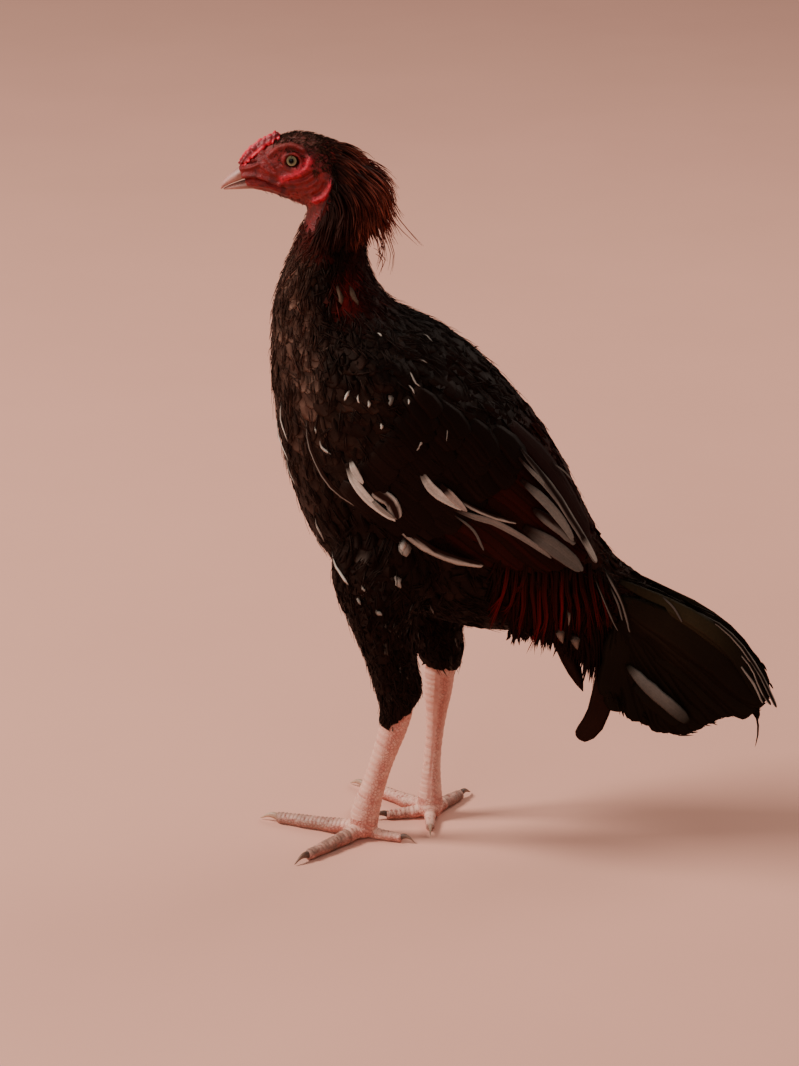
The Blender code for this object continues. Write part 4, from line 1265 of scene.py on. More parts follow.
    def dress(self, piece: bpy.types.Object) -> None:
        """Stores the throat's depth of red, what feathers or bristles cover, and the bright crimson
        with painted highlight on the fold crests.
        """
        points = points_of(piece)
        x, z = points[:, 0], points[:, 2]
        edge = np.interp(z, FACE_EDGE_Z, FACE_EDGE_X)
        bare = np.clip((edge - x + 0.002) / 0.004, 0, 1) * np.clip((z - 0.558) / 0.008, 0, 1)
        brow = np.interp(x, (-0.226, -0.208, -0.190, -0.172, -0.158),
                         (0.640, 0.646, 0.652, 0.647, 0.640))
        crown = np.clip((z - brow) / 0.005, 0, 1)
        throat = 0.20 * np.clip((0.594 - z) / 0.018, 0, 1)
        # bright crimson of the fold crests: partly the skin's own colour, partly painted highlight
        flush_and_highlight = 0 * x
        for line, width in self.flush_and_highlight_lines:
            flush_and_highlight = np.maximum(flush_and_highlight, ridge(points[:, (0, 2)], np.array(line), width) * (z > 0.595))
        store_pattern(piece, throat, bare, crown)
        store_pattern(piece, flush_and_highlight, name="Flush")


# The thighs, by rows of a Limb, and their cuffs: a point (x, z) and the way down the leg there
THIGHS = {
    Side.LEFT: (
        (-0.100, -0.030, 0.300, 0.046, 0.030),
        (-0.111, -0.034, 0.262, 0.0445, 0.032),
        (-0.1105, -0.036, 0.225, 0.0305, 0.029),
        (-0.1035, -0.034, 0.185, 0.0218, 0.024),
        (-0.0962, -0.031, 0.150, 0.0202, 0.020),
        (-0.0950, -0.030, 0.132, 0.0170, 0.0165),
        (-0.101, -0.029, 0.112, 0.0135, 0.0125),
    ),
    Side.RIGHT: (
        (-0.070, 0.030, 0.300, 0.046, 0.030),
        (-0.072, 0.034, 0.262, 0.044, 0.032),
        (-0.070, 0.036, 0.225, 0.034, 0.029),
        (-0.064, 0.035, 0.192, 0.0260, 0.024),
        (-0.058, 0.032, 0.165, 0.0200, 0.0185),
        (-0.057, 0.031, 0.150, 0.0165, 0.0150),
        (-0.059, 0.030, 0.136, 0.0135, 0.0125),
    ),
}
CUFFS = {Side.LEFT: ((-0.095, 0.131), (0.74, -0.67)), Side.RIGHT: ((-0.057, 0.157), (-0.12, -0.99))}


def thigh_form(side: Side) -> Limb:
    """The thigh of one side."""
    return Limb(np.array(THIGHS[side]))


def past_cuff(points: Array, side: Side) -> Array:
    """How far points lie past the slanting edge where one thigh's feathers end."""
    at, down = CUFFS[side]
    return (points[:, 0] - at[0]) * down[0] + (points[:, 2] - at[1]) * down[1]


# The folded wing's plate from its bend back: its lower point (x, z), upper point (x, z), thickness
WING_CORE = (
    (-0.180, 0.418, -0.170, 0.452, 0.0015),
    (-0.174, 0.396, -0.146, 0.478, 0.0050),
    (-0.164, 0.374, -0.112, 0.482, 0.0072),
    (-0.152, 0.355, -0.076, 0.469, 0.0085),
    (-0.138, 0.340, -0.040, 0.449, 0.0088),
    (-0.124, 0.328, -0.006, 0.428, 0.0084),
    (-0.114, 0.322, 0.014, 0.411, 0.0076),
)


@dataclass(frozen=True)
class Lie:
    """Where feathers lie in one region of the body: sample points, ways and places on the map."""

    points: Array
    ways: Array
    spots: Array


class Region(enum.Enum):
    """Regions of the body under the coat."""

    TRUNK = 0
    THIGH = 1
    WING = 2
    TAIL = 3
    NECK = 4


@dataclass
class Shell:
    """The surface under the coat: trunk, thighs, wings and tail root melted to one."""

    trunk: Trunk
    flank: SideField
    voxel: float = 0.0030
    columns: int = 40
    skin_gap: float = 0.0045

    def build(self) -> "Shell":
        """Melts the forms together and notes which way feathers lie on each."""
        pieces, lies, regions = [], [], []
        # each form's region, points, way of the feathers and chart on the map: corner and size
        grids = [(Region.TRUNK, self.grid(self.trunk, 76), -1.0, (0.02, 0.02, 0.60, 0.96))]
        for side in Side:
            low = 0.02 + 0.24 * (side is Side.RIGHT)
            thigh, wing = self.grid(thigh_form(side), 25), self.pad(side)
            grids.append((Region.THIGH, thigh, 1.0, (0.64, low, 0.34, 0.20)))
            grids.append((Region.WING, wing, 1.0, (0.64, low + 0.48, 0.34, 0.20)))
        grids.append((Region.TAIL, self.grid(tail_root(), 21), 1.0, (0.50, 0.0, 0.10, 0.02)))
        for region, points, flow, chart in grids:
            pieces.append(tube("shell", points))
            ways = unit(np.gradient(points, axis=0) * flow)
            if region is Region.WING:
                ways = self.wing_ways(points)
            steps = (np.linspace(0, 1, count) for count in points.shape[:2])
            u, v = np.meshgrid(*steps, indexing="ij")
            spots = np.stack((chart[0] + chart[2] * v, chart[1] + chart[3] * u), axis=-1)
            lies.append(Lie(points.reshape(-1, 3), ways.reshape(-1, 3), spots.reshape(-1, 2)))
            regions.append(np.full(points.shape[0] * points.shape[1], region.value))
        shell = melted(pieces, "shell", self.voxel, 7)
        self.points, self.normals = points_of(shell), normals_of(shell)
        self.faces = np.array([tuple(face.vertices) for face in shell.data.polygons
                               if len(face.vertices) == 4])
        bpy.data.objects.remove(shell)
        self.tree = BVHTree.FromPolygons([tuple(point) for point in self.points],
                                         [tuple(int(i) for i in face) for face in self.faces])
        rows = zip(*((part.points, part.ways, part.spots) for part in lies))
        lie = Lie(*(np.concatenate(row) for row in rows))
        gaps = np.array([self.tree.find_nearest(tuple(point))[3] for point in lie.points])
        near = gaps < self.skin_gap
        self.lie = Lie(lie.points[near], lie.ways[near], lie.spots[near])
        self.regions = np.concatenate(regions)[near]
        self.index = self.sorted_points(self.lie.points)
        return self

    @staticmethod
    def sorted_points(points: Array) -> KDTree:
        """Points in a tree that finds the near ones."""
        tree = KDTree(len(points))
        for i, point in enumerate(points):
            tree.insert(tuple(point), i)
        tree.balance()
        return tree

    def grid(self, form: Form, rows: int) -> Array:
        """A form's points in rings."""
        return form.at(*ring_grid(np.linspace(0, form.places, rows), self.columns))

    def pad(self, side: Side) -> Array:
        """A folded wing's rounded plate in rings from its bend back."""
        around = np.linspace(0, 1, self.columns, endpoint=False)
        back, share = np.meshgrid(np.linspace(0, 6, 25), around, indexing="ij")
        up = 1 - np.abs(2 * share - 1)
        row = curve_row(np.array(WING_CORE), back)
        flat = row[..., 0:2] * (1 - up[..., None]) + row[..., 2:4] * up[..., None]
        crown = 0.78 * row[..., 4] * (1 - np.abs(2 * up - 1) ** 3) * (0.75 + 0.5 * up) + 0.0012
        y = self.flank.y(flat[..., 0], flat[..., 1]) + np.where(share < 0.5, crown, -0.010)
        return in_space(flat, side.value * y)

    def wing_ways(self, points: Array) -> Array:
        """The small wing feathers' ways, back and steeply down."""
        share = np.linspace(0, 1, points.shape[1], endpoint=False)[None, :]
        up = 1 - np.abs(2 * share - 1)
        back = np.linspace(0, 1, points.shape[0])[:, None]
        angle = np.radians(60 + 6 * up - 24 * back)
        return np.stack((np.cos(angle), 0 * angle, -np.sin(angle)), axis=-1)

    def nearest(self, spots: Array) -> tuple[Array, Array]:
        """The closest points of the shell and the directions out of it there."""
        found = [self.tree.find_nearest(tuple(spot)) for spot in spots.reshape(-1, 3)]
        points = np.array([tuple(hit[0]) for hit in found])
        normals = self.normals[self.faces[[hit[2] for hit in found]]].mean(axis=1)
        return points.reshape(spots.shape), unit(normals).reshape(spots.shape)

    def beside(self, flat: Array, side: Side) -> tuple[Array, Array]:
        """Points of the shell seen from one side at points of the side view.

        Args:
            flat: Points as (x, z).
            side: The side to look from.

        Returns:
            The points and the directions out of the shell.
        """
        guess = []
        for x, z in flat:
            hit = self.tree.ray_cast((x, side.value * 0.5, z), (0, -side.value, 0))[0]
            guess.append((x, side.value * 0.012, z) if hit is None else tuple(hit))
        return self.nearest(np.array(guess))

    def ways(self, spots: Array) -> tuple[Array, Array, Array]:
        """Which way feathers lie at points, the region, and the place on the map."""
        way, region, where = [], [], []
        for spot in spots:
            found = self.index.find_n(tuple(spot), 6)
            near = [i for _, i, _ in found]
            share = np.array([1 / (gap + 0.001) for _, _, gap in found])
            way.append((self.lie.ways[near] * share[:, None]).sum(axis=0))
            region.append(self.regions[near[0]])
            where.append(self.lie.spots[near[0]])
        return unit(np.array(way)), np.array(region), np.array(where)

    def scatter(self, gap: Callable[[Array, Array], Array], draw: np.random.Generator,
                most: int = 90000) -> Array:
        """Roots strewn evenly over the shell.

        Args:
            gap: The distance wanted between roots at points with directions out, 0 for none.
            draw: The random source.
            most: How many points are tried.

        Returns:
            The roots.
        """
        quads = self.points[self.faces]
        diagonals = quads[:, 2] - quads[:, 0], quads[:, 3] - quads[:, 1]
        area = np.linalg.norm(np.cross(*diagonals), axis=1)
        pick = draw.choice(len(quads), most, p=area / area.sum())
        u, v = draw.random((2, most, 1))
        quad = quads[pick]
        spots = ((quad[:, 0] * (1 - u) + quad[:, 1] * u) * (1 - v)
                 + (quad[:, 3] * (1 - u) + quad[:, 2] * u) * v)
        gaps = gap(spots, self.normals[self.faces[pick]].mean(axis=1))
        spots, gaps = spots[gaps > 0], gaps[gaps > 0]
        tree = self.sorted_points(spots)
        free = np.ones(len(spots), dtype=bool)
        kept = []
        for i, spot in enumerate(spots):
            if free[i]:
                kept.append(i)
                free[[j for _, j, _ in tree.find_range(tuple(spot), float(gaps[i]))]] = False
        return spots[kept]

    def turned(self, roots: Array, way: Array, turn: Array) -> Array:
        """Ways turned on the shell by angles in radians."""
        _, out = self.nearest(roots)
        turn = turn[:, None]
        return way * np.cos(turn) + np.cross(out, way) * np.sin(turn)

    def drape(self, roots: Array, way: Array, length: Array, stations: tuple[float, ...],
              heights: tuple[float, ...], lift: Array) -> tuple[Array, Array]:
        """Middle lines of feathers laid over the shell.

        Args:
            roots: Where they start.
            way: Which way they set out.
            length: Their lengths.
            stations: Shares of the length at which points are wanted.
            heights: Heights over the shell at the root, a third, two thirds and the tip.
            lift: A factor on the heights beyond the root for each feather.

        Returns:
            The points and the outward directions, each as (feathers, stations, 3).
        """
        here = roots.copy()
        middle, out = [], []
        for k, t in enumerate(stations):
            if k:
                here = here + way * (length * (t - stations[k - 1]))[:, None]
            here, normal = self.nearest(here)
            way = unit(way - normal * np.sum(way * normal, axis=1, keepdims=True))
            rise = np.interp(t, HEIGHT_PLACES, heights)
            middle.append(here + normal * (rise * np.where(rise > 0, lift, 1.0))[:, None])
            out.append(normal)
        return np.stack(middle, axis=1), np.stack(out, axis=1)


@dataclass(frozen=True)
class Fleck:
    """A single pale feather: its line in the side view, half width, height and brightness."""

    line: Line
    half_width: float
    light: float
    height: float = 0.0030


FLECKS = (
    Fleck(((-0.1380, 0.4490), (-0.1405, 0.4450), (-0.1425, 0.4400)), 0.0019, 0.90),
    Fleck(((-0.1310, 0.4460), (-0.1312, 0.4420), (-0.1300, 0.4385)), 0.0012, 0.85),
    Fleck(((-0.1225, 0.4410), (-0.1215, 0.4380), (-0.1220, 0.4350)), 0.0017, 0.60),
    Fleck(((-0.1115, 0.4210), (-0.1110, 0.4185), (-0.1115, 0.4155)), 0.0014, 0.90),
    Fleck(((-0.1050, 0.4450), (-0.1030, 0.4415), (-0.1045, 0.4360)), 0.0028, 0.22),
    Fleck(((-0.0885, 0.4410), (-0.0880, 0.4385), (-0.0885, 0.4360)), 0.0011, 0.80),
    Fleck(((-0.0755, 0.4060), (-0.0775, 0.4010), (-0.0810, 0.3950)), 0.0024, 0.65),
    Fleck(((-0.0550, 0.4150), (-0.0548, 0.4085), (-0.0555, 0.4010)), 0.0007, 0.50),
    Fleck(((-0.0880, 0.4520), (-0.0850, 0.4480), (-0.0835, 0.4440)), 0.0008, 0.60),
    Fleck(((-0.1690, 0.4120), (-0.1675, 0.4095), (-0.1670, 0.4060)), 0.0013, 0.60),
    Fleck(((-0.1650, 0.4000), (-0.1615, 0.3930), (-0.1540, 0.3890)), 0.0018, 0.70),
    Fleck(((-0.1150, 0.4920), (-0.1130, 0.4900), (-0.1115, 0.4885)), 0.0011, 0.70),
    Fleck(((-0.0800, 0.4700), (-0.0760, 0.4675), (-0.0725, 0.4650)), 0.0008, 0.40),
    Fleck(((-0.1990, 0.4240), (-0.1960, 0.4060), (-0.1905, 0.3900)), 0.0018, 0.85, 0.0050),
    Fleck(((-0.2035, 0.4040), (-0.1985, 0.3860), (-0.1905, 0.3700)), 0.0022, 0.90, 0.0044),
    Fleck(((-0.1950, 0.3720), (-0.1900, 0.3580), (-0.1850, 0.3480)), 0.0014, 0.60, 0.0044),
    Fleck(((-0.1700, 0.3170), (-0.1650, 0.3080), (-0.1600, 0.2960)), 0.0018, 0.60, 0.0045),
    Fleck(((-0.1690, 0.2990), (-0.1660, 0.2900), (-0.1600, 0.2790)), 0.0016, 0.75, 0.0040),
    Fleck(((-0.1555, 0.2840), (-0.1480, 0.2740), (-0.1390, 0.2630)), 0.0026, 0.80, 0.0040),
    Fleck(((-0.1190, 0.3290), (-0.1080, 0.3190), (-0.0990, 0.3120)), 0.0014, 0.35, 0.0030),
    Fleck(((-0.0920, 0.3070), (-0.0910, 0.2990), (-0.0900, 0.2900)), 0.0060, 0.42, 0.0030),
    Fleck(((-0.0900, 0.3060), (-0.0925, 0.3010), (-0.0935, 0.2960)), 0.0032, 0.80, 0.0045),
    Fleck(((-0.1000, 0.2740), (-0.0970, 0.2680), (-0.0950, 0.2620)), 0.0038, 0.45, 0.0030),
    Fleck(((-0.1330, 0.2520), (-0.1310, 0.2490), (-0.1290, 0.2460)), 0.0022, 0.50, 0.0030),
    Fleck(((-0.1170, 0.2420), (-0.1140, 0.2390), (-0.1110, 0.2370)), 0.0024, 0.50, 0.0030),
    Fleck(((-0.1400, 0.2300), (-0.1390, 0.2250), (-0.1375, 0.2210)), 0.0014, 0.40, 0.0030),
    Fleck(((-0.1500, 0.5330), (-0.1480, 0.5240), (-0.1465, 0.5150)), 0.0030, 0.15, 0.0030),
    Fleck(((-0.1395, 0.5310), (-0.1370, 0.5220), (-0.1325, 0.5130)), 0.0028, 0.16, 0.0030),
    Fleck(((-0.0870, 0.4630), (-0.0835, 0.4540), (-0.0785, 0.4490)), 0.0010, 0.60),
    Fleck(((-0.0760, 0.4860), (-0.0720, 0.4830), (-0.0680, 0.4790)), 0.0008, 0.45),
    Fleck(((-0.1290, 0.2640), (-0.1270, 0.2610), (-0.1255, 0.2590)), 0.0018, 0.45),
    Fleck(((-0.0680, 0.2340), (-0.0655, 0.2290), (-0.0640, 0.2240)), 0.0012, 0.25, 0.0030),
)


# Which share of the small feathers has down beside it
DOWN_SHARES = {Region.TRUNK: 0.75, Region.NECK: 0.85, Region.THIGH: 0.9, Region.WING: 0.45,
               Region.TAIL: 0.6}


@dataclass
class BodyCoat:
    """The coat of small feathers over the shell, with its pale flecks, and the head's bristles."""

    trunk: Trunk
    palette: Plumage
    shell: Shell
    wisps: int = 2
    neck_from: float = 0.44
    root_gap: float = 0.25
    bristle_number: int = 2600
    # tufts of the ear, behind the eye and on the jaw: x, z, number, spread, how brown they are
    tufts: tuple[tuple[float, float, int, float, float], ...] = (
        (-0.1690, 0.6300, 60, 0.0020, 1.0), (-0.1620, 0.6420, 110, 0.0050, 0.3),
        (-0.1850, 0.6000, 40, 0.0060, 0.3), (-0.2000, 0.6060, 40, 0.0060, 0.3))
    # heights over the shell at the root, a third, two thirds and the tip
    feather_rise: tuple[float, ...] = (-0.0030, 0.0002, 0.0007, 0.0010)
    down_rise: tuple[float, ...] = (0.0004, 0.0028, 0.0036, 0.0048)
    wisp_rise: tuple[float, ...] = (0.0004, 0.0013, 0.0019, 0.0024)
    bristle_rise: tuple[float, ...] = (-0.0005, 0.0006, 0.0012, 0.0017)
    bristle_brown: Colour = (0.085, 0.030, 0.017)

    def bare(self, points: Array) -> Array:
        """Whether points lie on the bare face or the bare strip of the throat."""
        edge = np.interp(points[:, 2], FACE_EDGE_Z, FACE_EDGE_X)
        ragged = 0.5770 + 0.0055 * np.sin(points[:, 0] * 1500 + points[:, 1] * 900)
        return (points[:, 2] > ragged) & (points[:, 0] < edge)

    def size(self, points: Array) -> Array:
        """How long the small feathers are at points."""
        x, z = points[:, 0], points[:, 2]
        size = np.interp(z, (0.11, 0.16, 0.22, 0.30, 0.42, 0.48, 0.52, 0.58, 0.62, 0.65),
                         (0.013, 0.018, 0.024, 0.029, 0.029, 0.024, 0.019, 0.014, 0.011, 0.007))
        return np.where((z > 0.36) & (x > -0.08), size * 1.12, size)

    def gap(self, points: Array, out: Array) -> Array:
        """The distance between roots: 0 on bare skin, past the cuffs and under the wings."""
        x, z = points[:, 0], points[:, 2]
        gap = self.size(points) * self.root_gap
        gap = np.where(self.bare(points), 0.0, gap)
        for side in Side:
            mine = (np.sign(points[:, 1]) == side.value) & (z < 0.19)
            gap = np.where(mine & (past_cuff(points, side) > -0.003), 0.0, gap)
        under = ((np.abs(out[:, 1]) > 0.5) & (x > -0.070) & (x < 0.050)
                 & (z > 0.325 - 0.2 * x) & (z < 0.40 - 0.55 * x))
        return np.where(under, 0.0, gap)

    def build(self) -> dict[Region, Coat]:
        """The small feathers, as one coat for each region."""
        draw = np.random.default_rng(41)
        roots = self.shell.scatter(self.gap, draw)
        way, region, spot = self.shell.ways(roots)
        high = (region == Region.TRUNK.value) & (roots[:, 2] > self.neck_from)
        region = np.where(high, Region.NECK.value, region)
        coats = {}
        for part in Region:
            mine = region == part.value
            coats[part] = Coat("feathers_" + part.name.lower())
            self.cover(coats[part], part, roots[mine], way[mine], spot[mine], draw)
        self.flecks(coats[Region.WING], draw)
        return coats

    def cover(self, coat: Coat, part: Region, roots: Array, way: Array, spot: Array,
              draw: np.random.Generator) -> None:
        """Lays the feathers of one region."""
        number = len(roots)
        size = self.size(roots)
        length = size * draw.uniform(0.88, 1.18, number)
        if part is Region.THIGH:
            for side in Side:
                mine = np.sign(roots[:, 1]) == side.value
                short = np.minimum(length, 0.0075 - past_cuff(roots, side) * 1.1)
                length = np.where(mine, short, length)
        way = self.shell.turned(roots, way, draw.normal(0, 0.10, number))
        high = np.interp(size, (0.007, 0.03), (0.35, 1.0)) * draw.uniform(0.8, 1.2, number)
        low_throat = np.interp(roots[:, 2], (0.535, 0.572), (1.0, 0.35))
        high = high * np.where(roots[:, 0] < -0.15, low_throat, 1.0)
        kind = BODY_FEATHER
        middle, out = self.shell.drape(roots, way, length, kind.stations, self.feather_rise, high)
        tone, rim = self.tint(roots, part, draw)
        coat.lay(kind, middle, out, length * draw.uniform(0.36, 0.44, number), tone, rim, spot,
                 draw.normal(0, 0.04, number), 0.35, draw)
        self.down(coat, part, roots, way, spot, tone, draw)

    def down(self, coat: Coat, part: Region, roots: Array, way: Array, spot: Array, tone: Array,
             draw: np.random.Generator) -> None:
        """Thin loose barbs that stand off between the feathers and soften the outline."""
        pick = draw.random(len(roots)) < DOWN_SHARES[part]
        roots, way, spot, tone = roots[pick], way[pick], spot[pick], tone[pick]
        number = len(roots)
        if not number:
            return
        length = self.size(roots) * draw.uniform(0.45, 0.95, number)
        way = self.shell.turned(roots, way, draw.normal(0, 0.45, number))
        lift = draw.uniform(0.5, 1.15, number) * np.interp(length, (0.004, 0.02), (0.4, 1.0))
        middle, out = self.shell.drape(roots, way, length, BRISTLE.stations, self.down_rise, lift)
        coat.lay(BRISTLE, middle, out, draw.uniform(0.0003, 0.0008, number), tone, None, spot)
        for _ in range(self.wisps):
            start = roots + draw.normal(0, 0.0020, roots.shape)
            lift = draw.uniform(0.6, 1.2, number)
            middle, out = self.shell.drape(start, way, length * 1.1, BRISTLE.stations,
                                           self.wisp_rise, lift)
            colour = self.palette.varied(tone, draw, 0.45)
            coat.lay(BRISTLE, middle, out, draw.uniform(0.0003, 0.0009, number), colour, None, spot)

    def tint(self, points: Array, part: Region, draw: np.random.Generator) -> tuple[Array, Array]:
        """Colours of small feathers: the middle and the edge."""
        look = self.palette
        x, z, side = points[:, 0], points[:, 2], np.abs(points[:, 1])
        number = len(x)
        waves = np.sin(z * 83 + 1.3 * np.sin(x * 70) + 0.7)
        cloud = 0.5 + 0.5 * np.sin(x * 95 + 2.2 * np.sin(z * 61)) * waves
        # brown on the breast's front edge and the shoulder, with paler rims: partly the feathers'
        # own colour, partly painted light on the front edge that faces the key light, and painted
        # sheen on the grey rims
        edge = np.interp(z, (0.20, 0.30, 0.40, 0.45, 0.50, 0.55, 0.58),
                         (-0.163, -0.172, -0.178, -0.166, -0.168, -0.172, -0.168))
        front = (np.clip((edge - x) / 0.012 + 0.5, 0, 1)
                 * np.interp(z, (0.24, 0.30, 0.40, 0.48), (0, 0.22, 0.34, 1.15)))
        shoulder = np.exp(-(((x + 0.150) / 0.032) ** 2 + ((z - 0.435) / 0.045) ** 2))
        brown = (0.05 + front * (0.45 + 0.65 * cloud) + 0.22 * shoulder * cloud
                 + draw.normal(0, 0.07, number))
        tone = look.blend(look.black, look.brown, brown)
        # pale grey rims: painted sheen, with some of the feathers' own pale edging
        pale = 0.95 * front * (0.15 + 0.85 * cloud) + 0.20 * shoulder * draw.random(number)
        rim = look.blend(tone, look.grey, np.minimum(pale, 0.85))
        # red on the throat, a patch of the neck, the nape and round the saddle
        throat = 0.45 * np.clip((z - 0.556) / 0.016, 0, 1) * (x < -0.155)
        patch = ((0.62 + 0.25 * np.sin(x * 1500))
                 * np.exp(-(((x + 0.1435) / 0.0100) ** 4 + ((z - 0.530) / 0.0165) ** 4)))
        nape = np.clip((x + 0.146) / 0.01, 0, 1) * np.clip((z - 0.500) / 0.02, 0, 1)
        rear = np.clip((x + 0.005) / 0.03, 0, 1)
        saddle = rear * np.clip((0.335 - z) / 0.04, 0, 1) * np.clip((z - 0.235) / 0.03, 0, 1)
        bay = rear * np.clip((z - 0.27) / 0.02, 0, 1)
        red = (patch + throat + 0.16 * nape + saddle * 0.22 * draw.random(number) + bay * 0.18)
        tone, rim = look.blend(tone, look.blood, red), look.blend(rim, look.blood, red)
        if part is Region.TAIL:
            near = np.clip((0.155 - x) / 0.03, 0, 1)
            green = look.blend(look.black, look.green, draw.random(number))
            brown = look.blend(look.black, look.brown, 0.35 + 0.35 * draw.random(number))
            tone = rim = look.blend(green, brown, near)
        lone = (part is Region.THIGH) & (draw.random(number) < 0.03)
        rim = np.where(lone[:, None], np.array(look.dull) * 0.3, rim)
        vary = np.exp(draw.normal(0, 0.14 + 0.10 * front, number))[:, None]
        return tone * vary, look.varied(rim * vary, draw, 0.2)

    def flecks(self, coat: Coat, draw: np.random.Generator) -> None:
        """The single pale feathers, in the photo's places; a few differ on the far side."""
        look = self.palette
        t = np.array(HACKLE.stations)
        for side in Side:
            for fleck in FLECKS:
                line = np.array(fleck.line)
                if side is Side.RIGHT:
                    line = line + draw.normal(0, 0.004, 2)
                points, out = self.shell.beside(along_line(line, t), side)
                middle = points + out * (fleck.height * np.minimum(0.2 + 2.5 * t, 1))[:, None]
                warm = np.array((1.0, 0.72, 0.56)) if fleck.light < 0.2 else 1.0
                tone = np.array(look.white) * fleck.light * draw.uniform(0.85, 1.1) * warm
                tones = look.blend(look.brown, tone, t * 2.2 + 0.1 * draw.normal(size=len(t)))
                coat.lay(PALE, middle[None], out[None], np.array([fleck.half_width]), tones[None],
                         ragged=0.6, draw=draw)

    def crown(self) -> Coat:
        """Short bristles, thin on the crown, between eye and nape, and round the ear."""
        draw = np.random.default_rng(7)
        coat = Coat("feathers_crown")
        number = self.bristle_number
        place = draw.uniform(18.8, 22.8, number)
        turn = draw.normal(0, 0.66, number)
        share = np.interp(place, (18.8, 19.8, 20.6, 22.8), (1.0, 0.85, 0.55, 0.25))
        thin = (draw.random(number) < share) & (np.abs(turn) < 1.35)
        place, turn = place[thin], turn[thin]
        self.bristles(coat, place, turn, (0.0022, 0.0050), (0.00018, 0.00040), 0.7, draw)
        for x, z, number, spread, light in self.tufts:
            place, turn = self.near((x, z), number, spread, draw)
            self.bristles(coat, place, turn, (0.0022, 0.0046), (0.00016, 0.00034), light, draw)
        return coat

    def bristles(self, coat: Coat, place: Array, turn: Array, length: tuple[float, float],
                 width: tuple[float, float], light: float, draw: np.random.Generator) -> None:
        """Bristles at places and turns of the head."""
        number = len(place)
        middle, out = surface_paths(self.trunk, place, turn, draw.uniform(*length, number),
                                    draw.normal(0, 0.10, number), BRISTLE.stations,
                                    self.bristle_rise, draw.uniform(0.5, 1.5, number))
        look = self.palette
        brown = look.blend(look.black, self.bristle_brown, draw.random(number) * light)
        colours = look.varied(brown, draw, 0.4)
        coat.lay(BRISTLE, middle, out, draw.uniform(*width, number), colours, None,
                 self.trunk.spot(place, turn))

    def near(self, spot: tuple[float, float], number: int, spread: float,
             draw: np.random.Generator) -> tuple[Array, Array]:
        """Places and turns on both sides of the head round a point of the side view."""
        grid = np.linspace(17, 25, 160), np.linspace(0.3, 2.9, 120)
        places, turns = np.meshgrid(*grid, indexing="ij")
        points = self.trunk.at(places, turns)
        x = spot[0] + draw.normal(0, spread, number)
        z = spot[1] + draw.normal(0, spread, number)
        found = [np.argmin((points[..., 0] - a) ** 2 + (points[..., 2] - b) ** 2)
                 for a, b in zip(x, z)]
        sign = np.where(np.arange(number) % 2 == 0, 1.0, -1.0)
        return places.ravel()[found], turns.ravel()[found] * sign


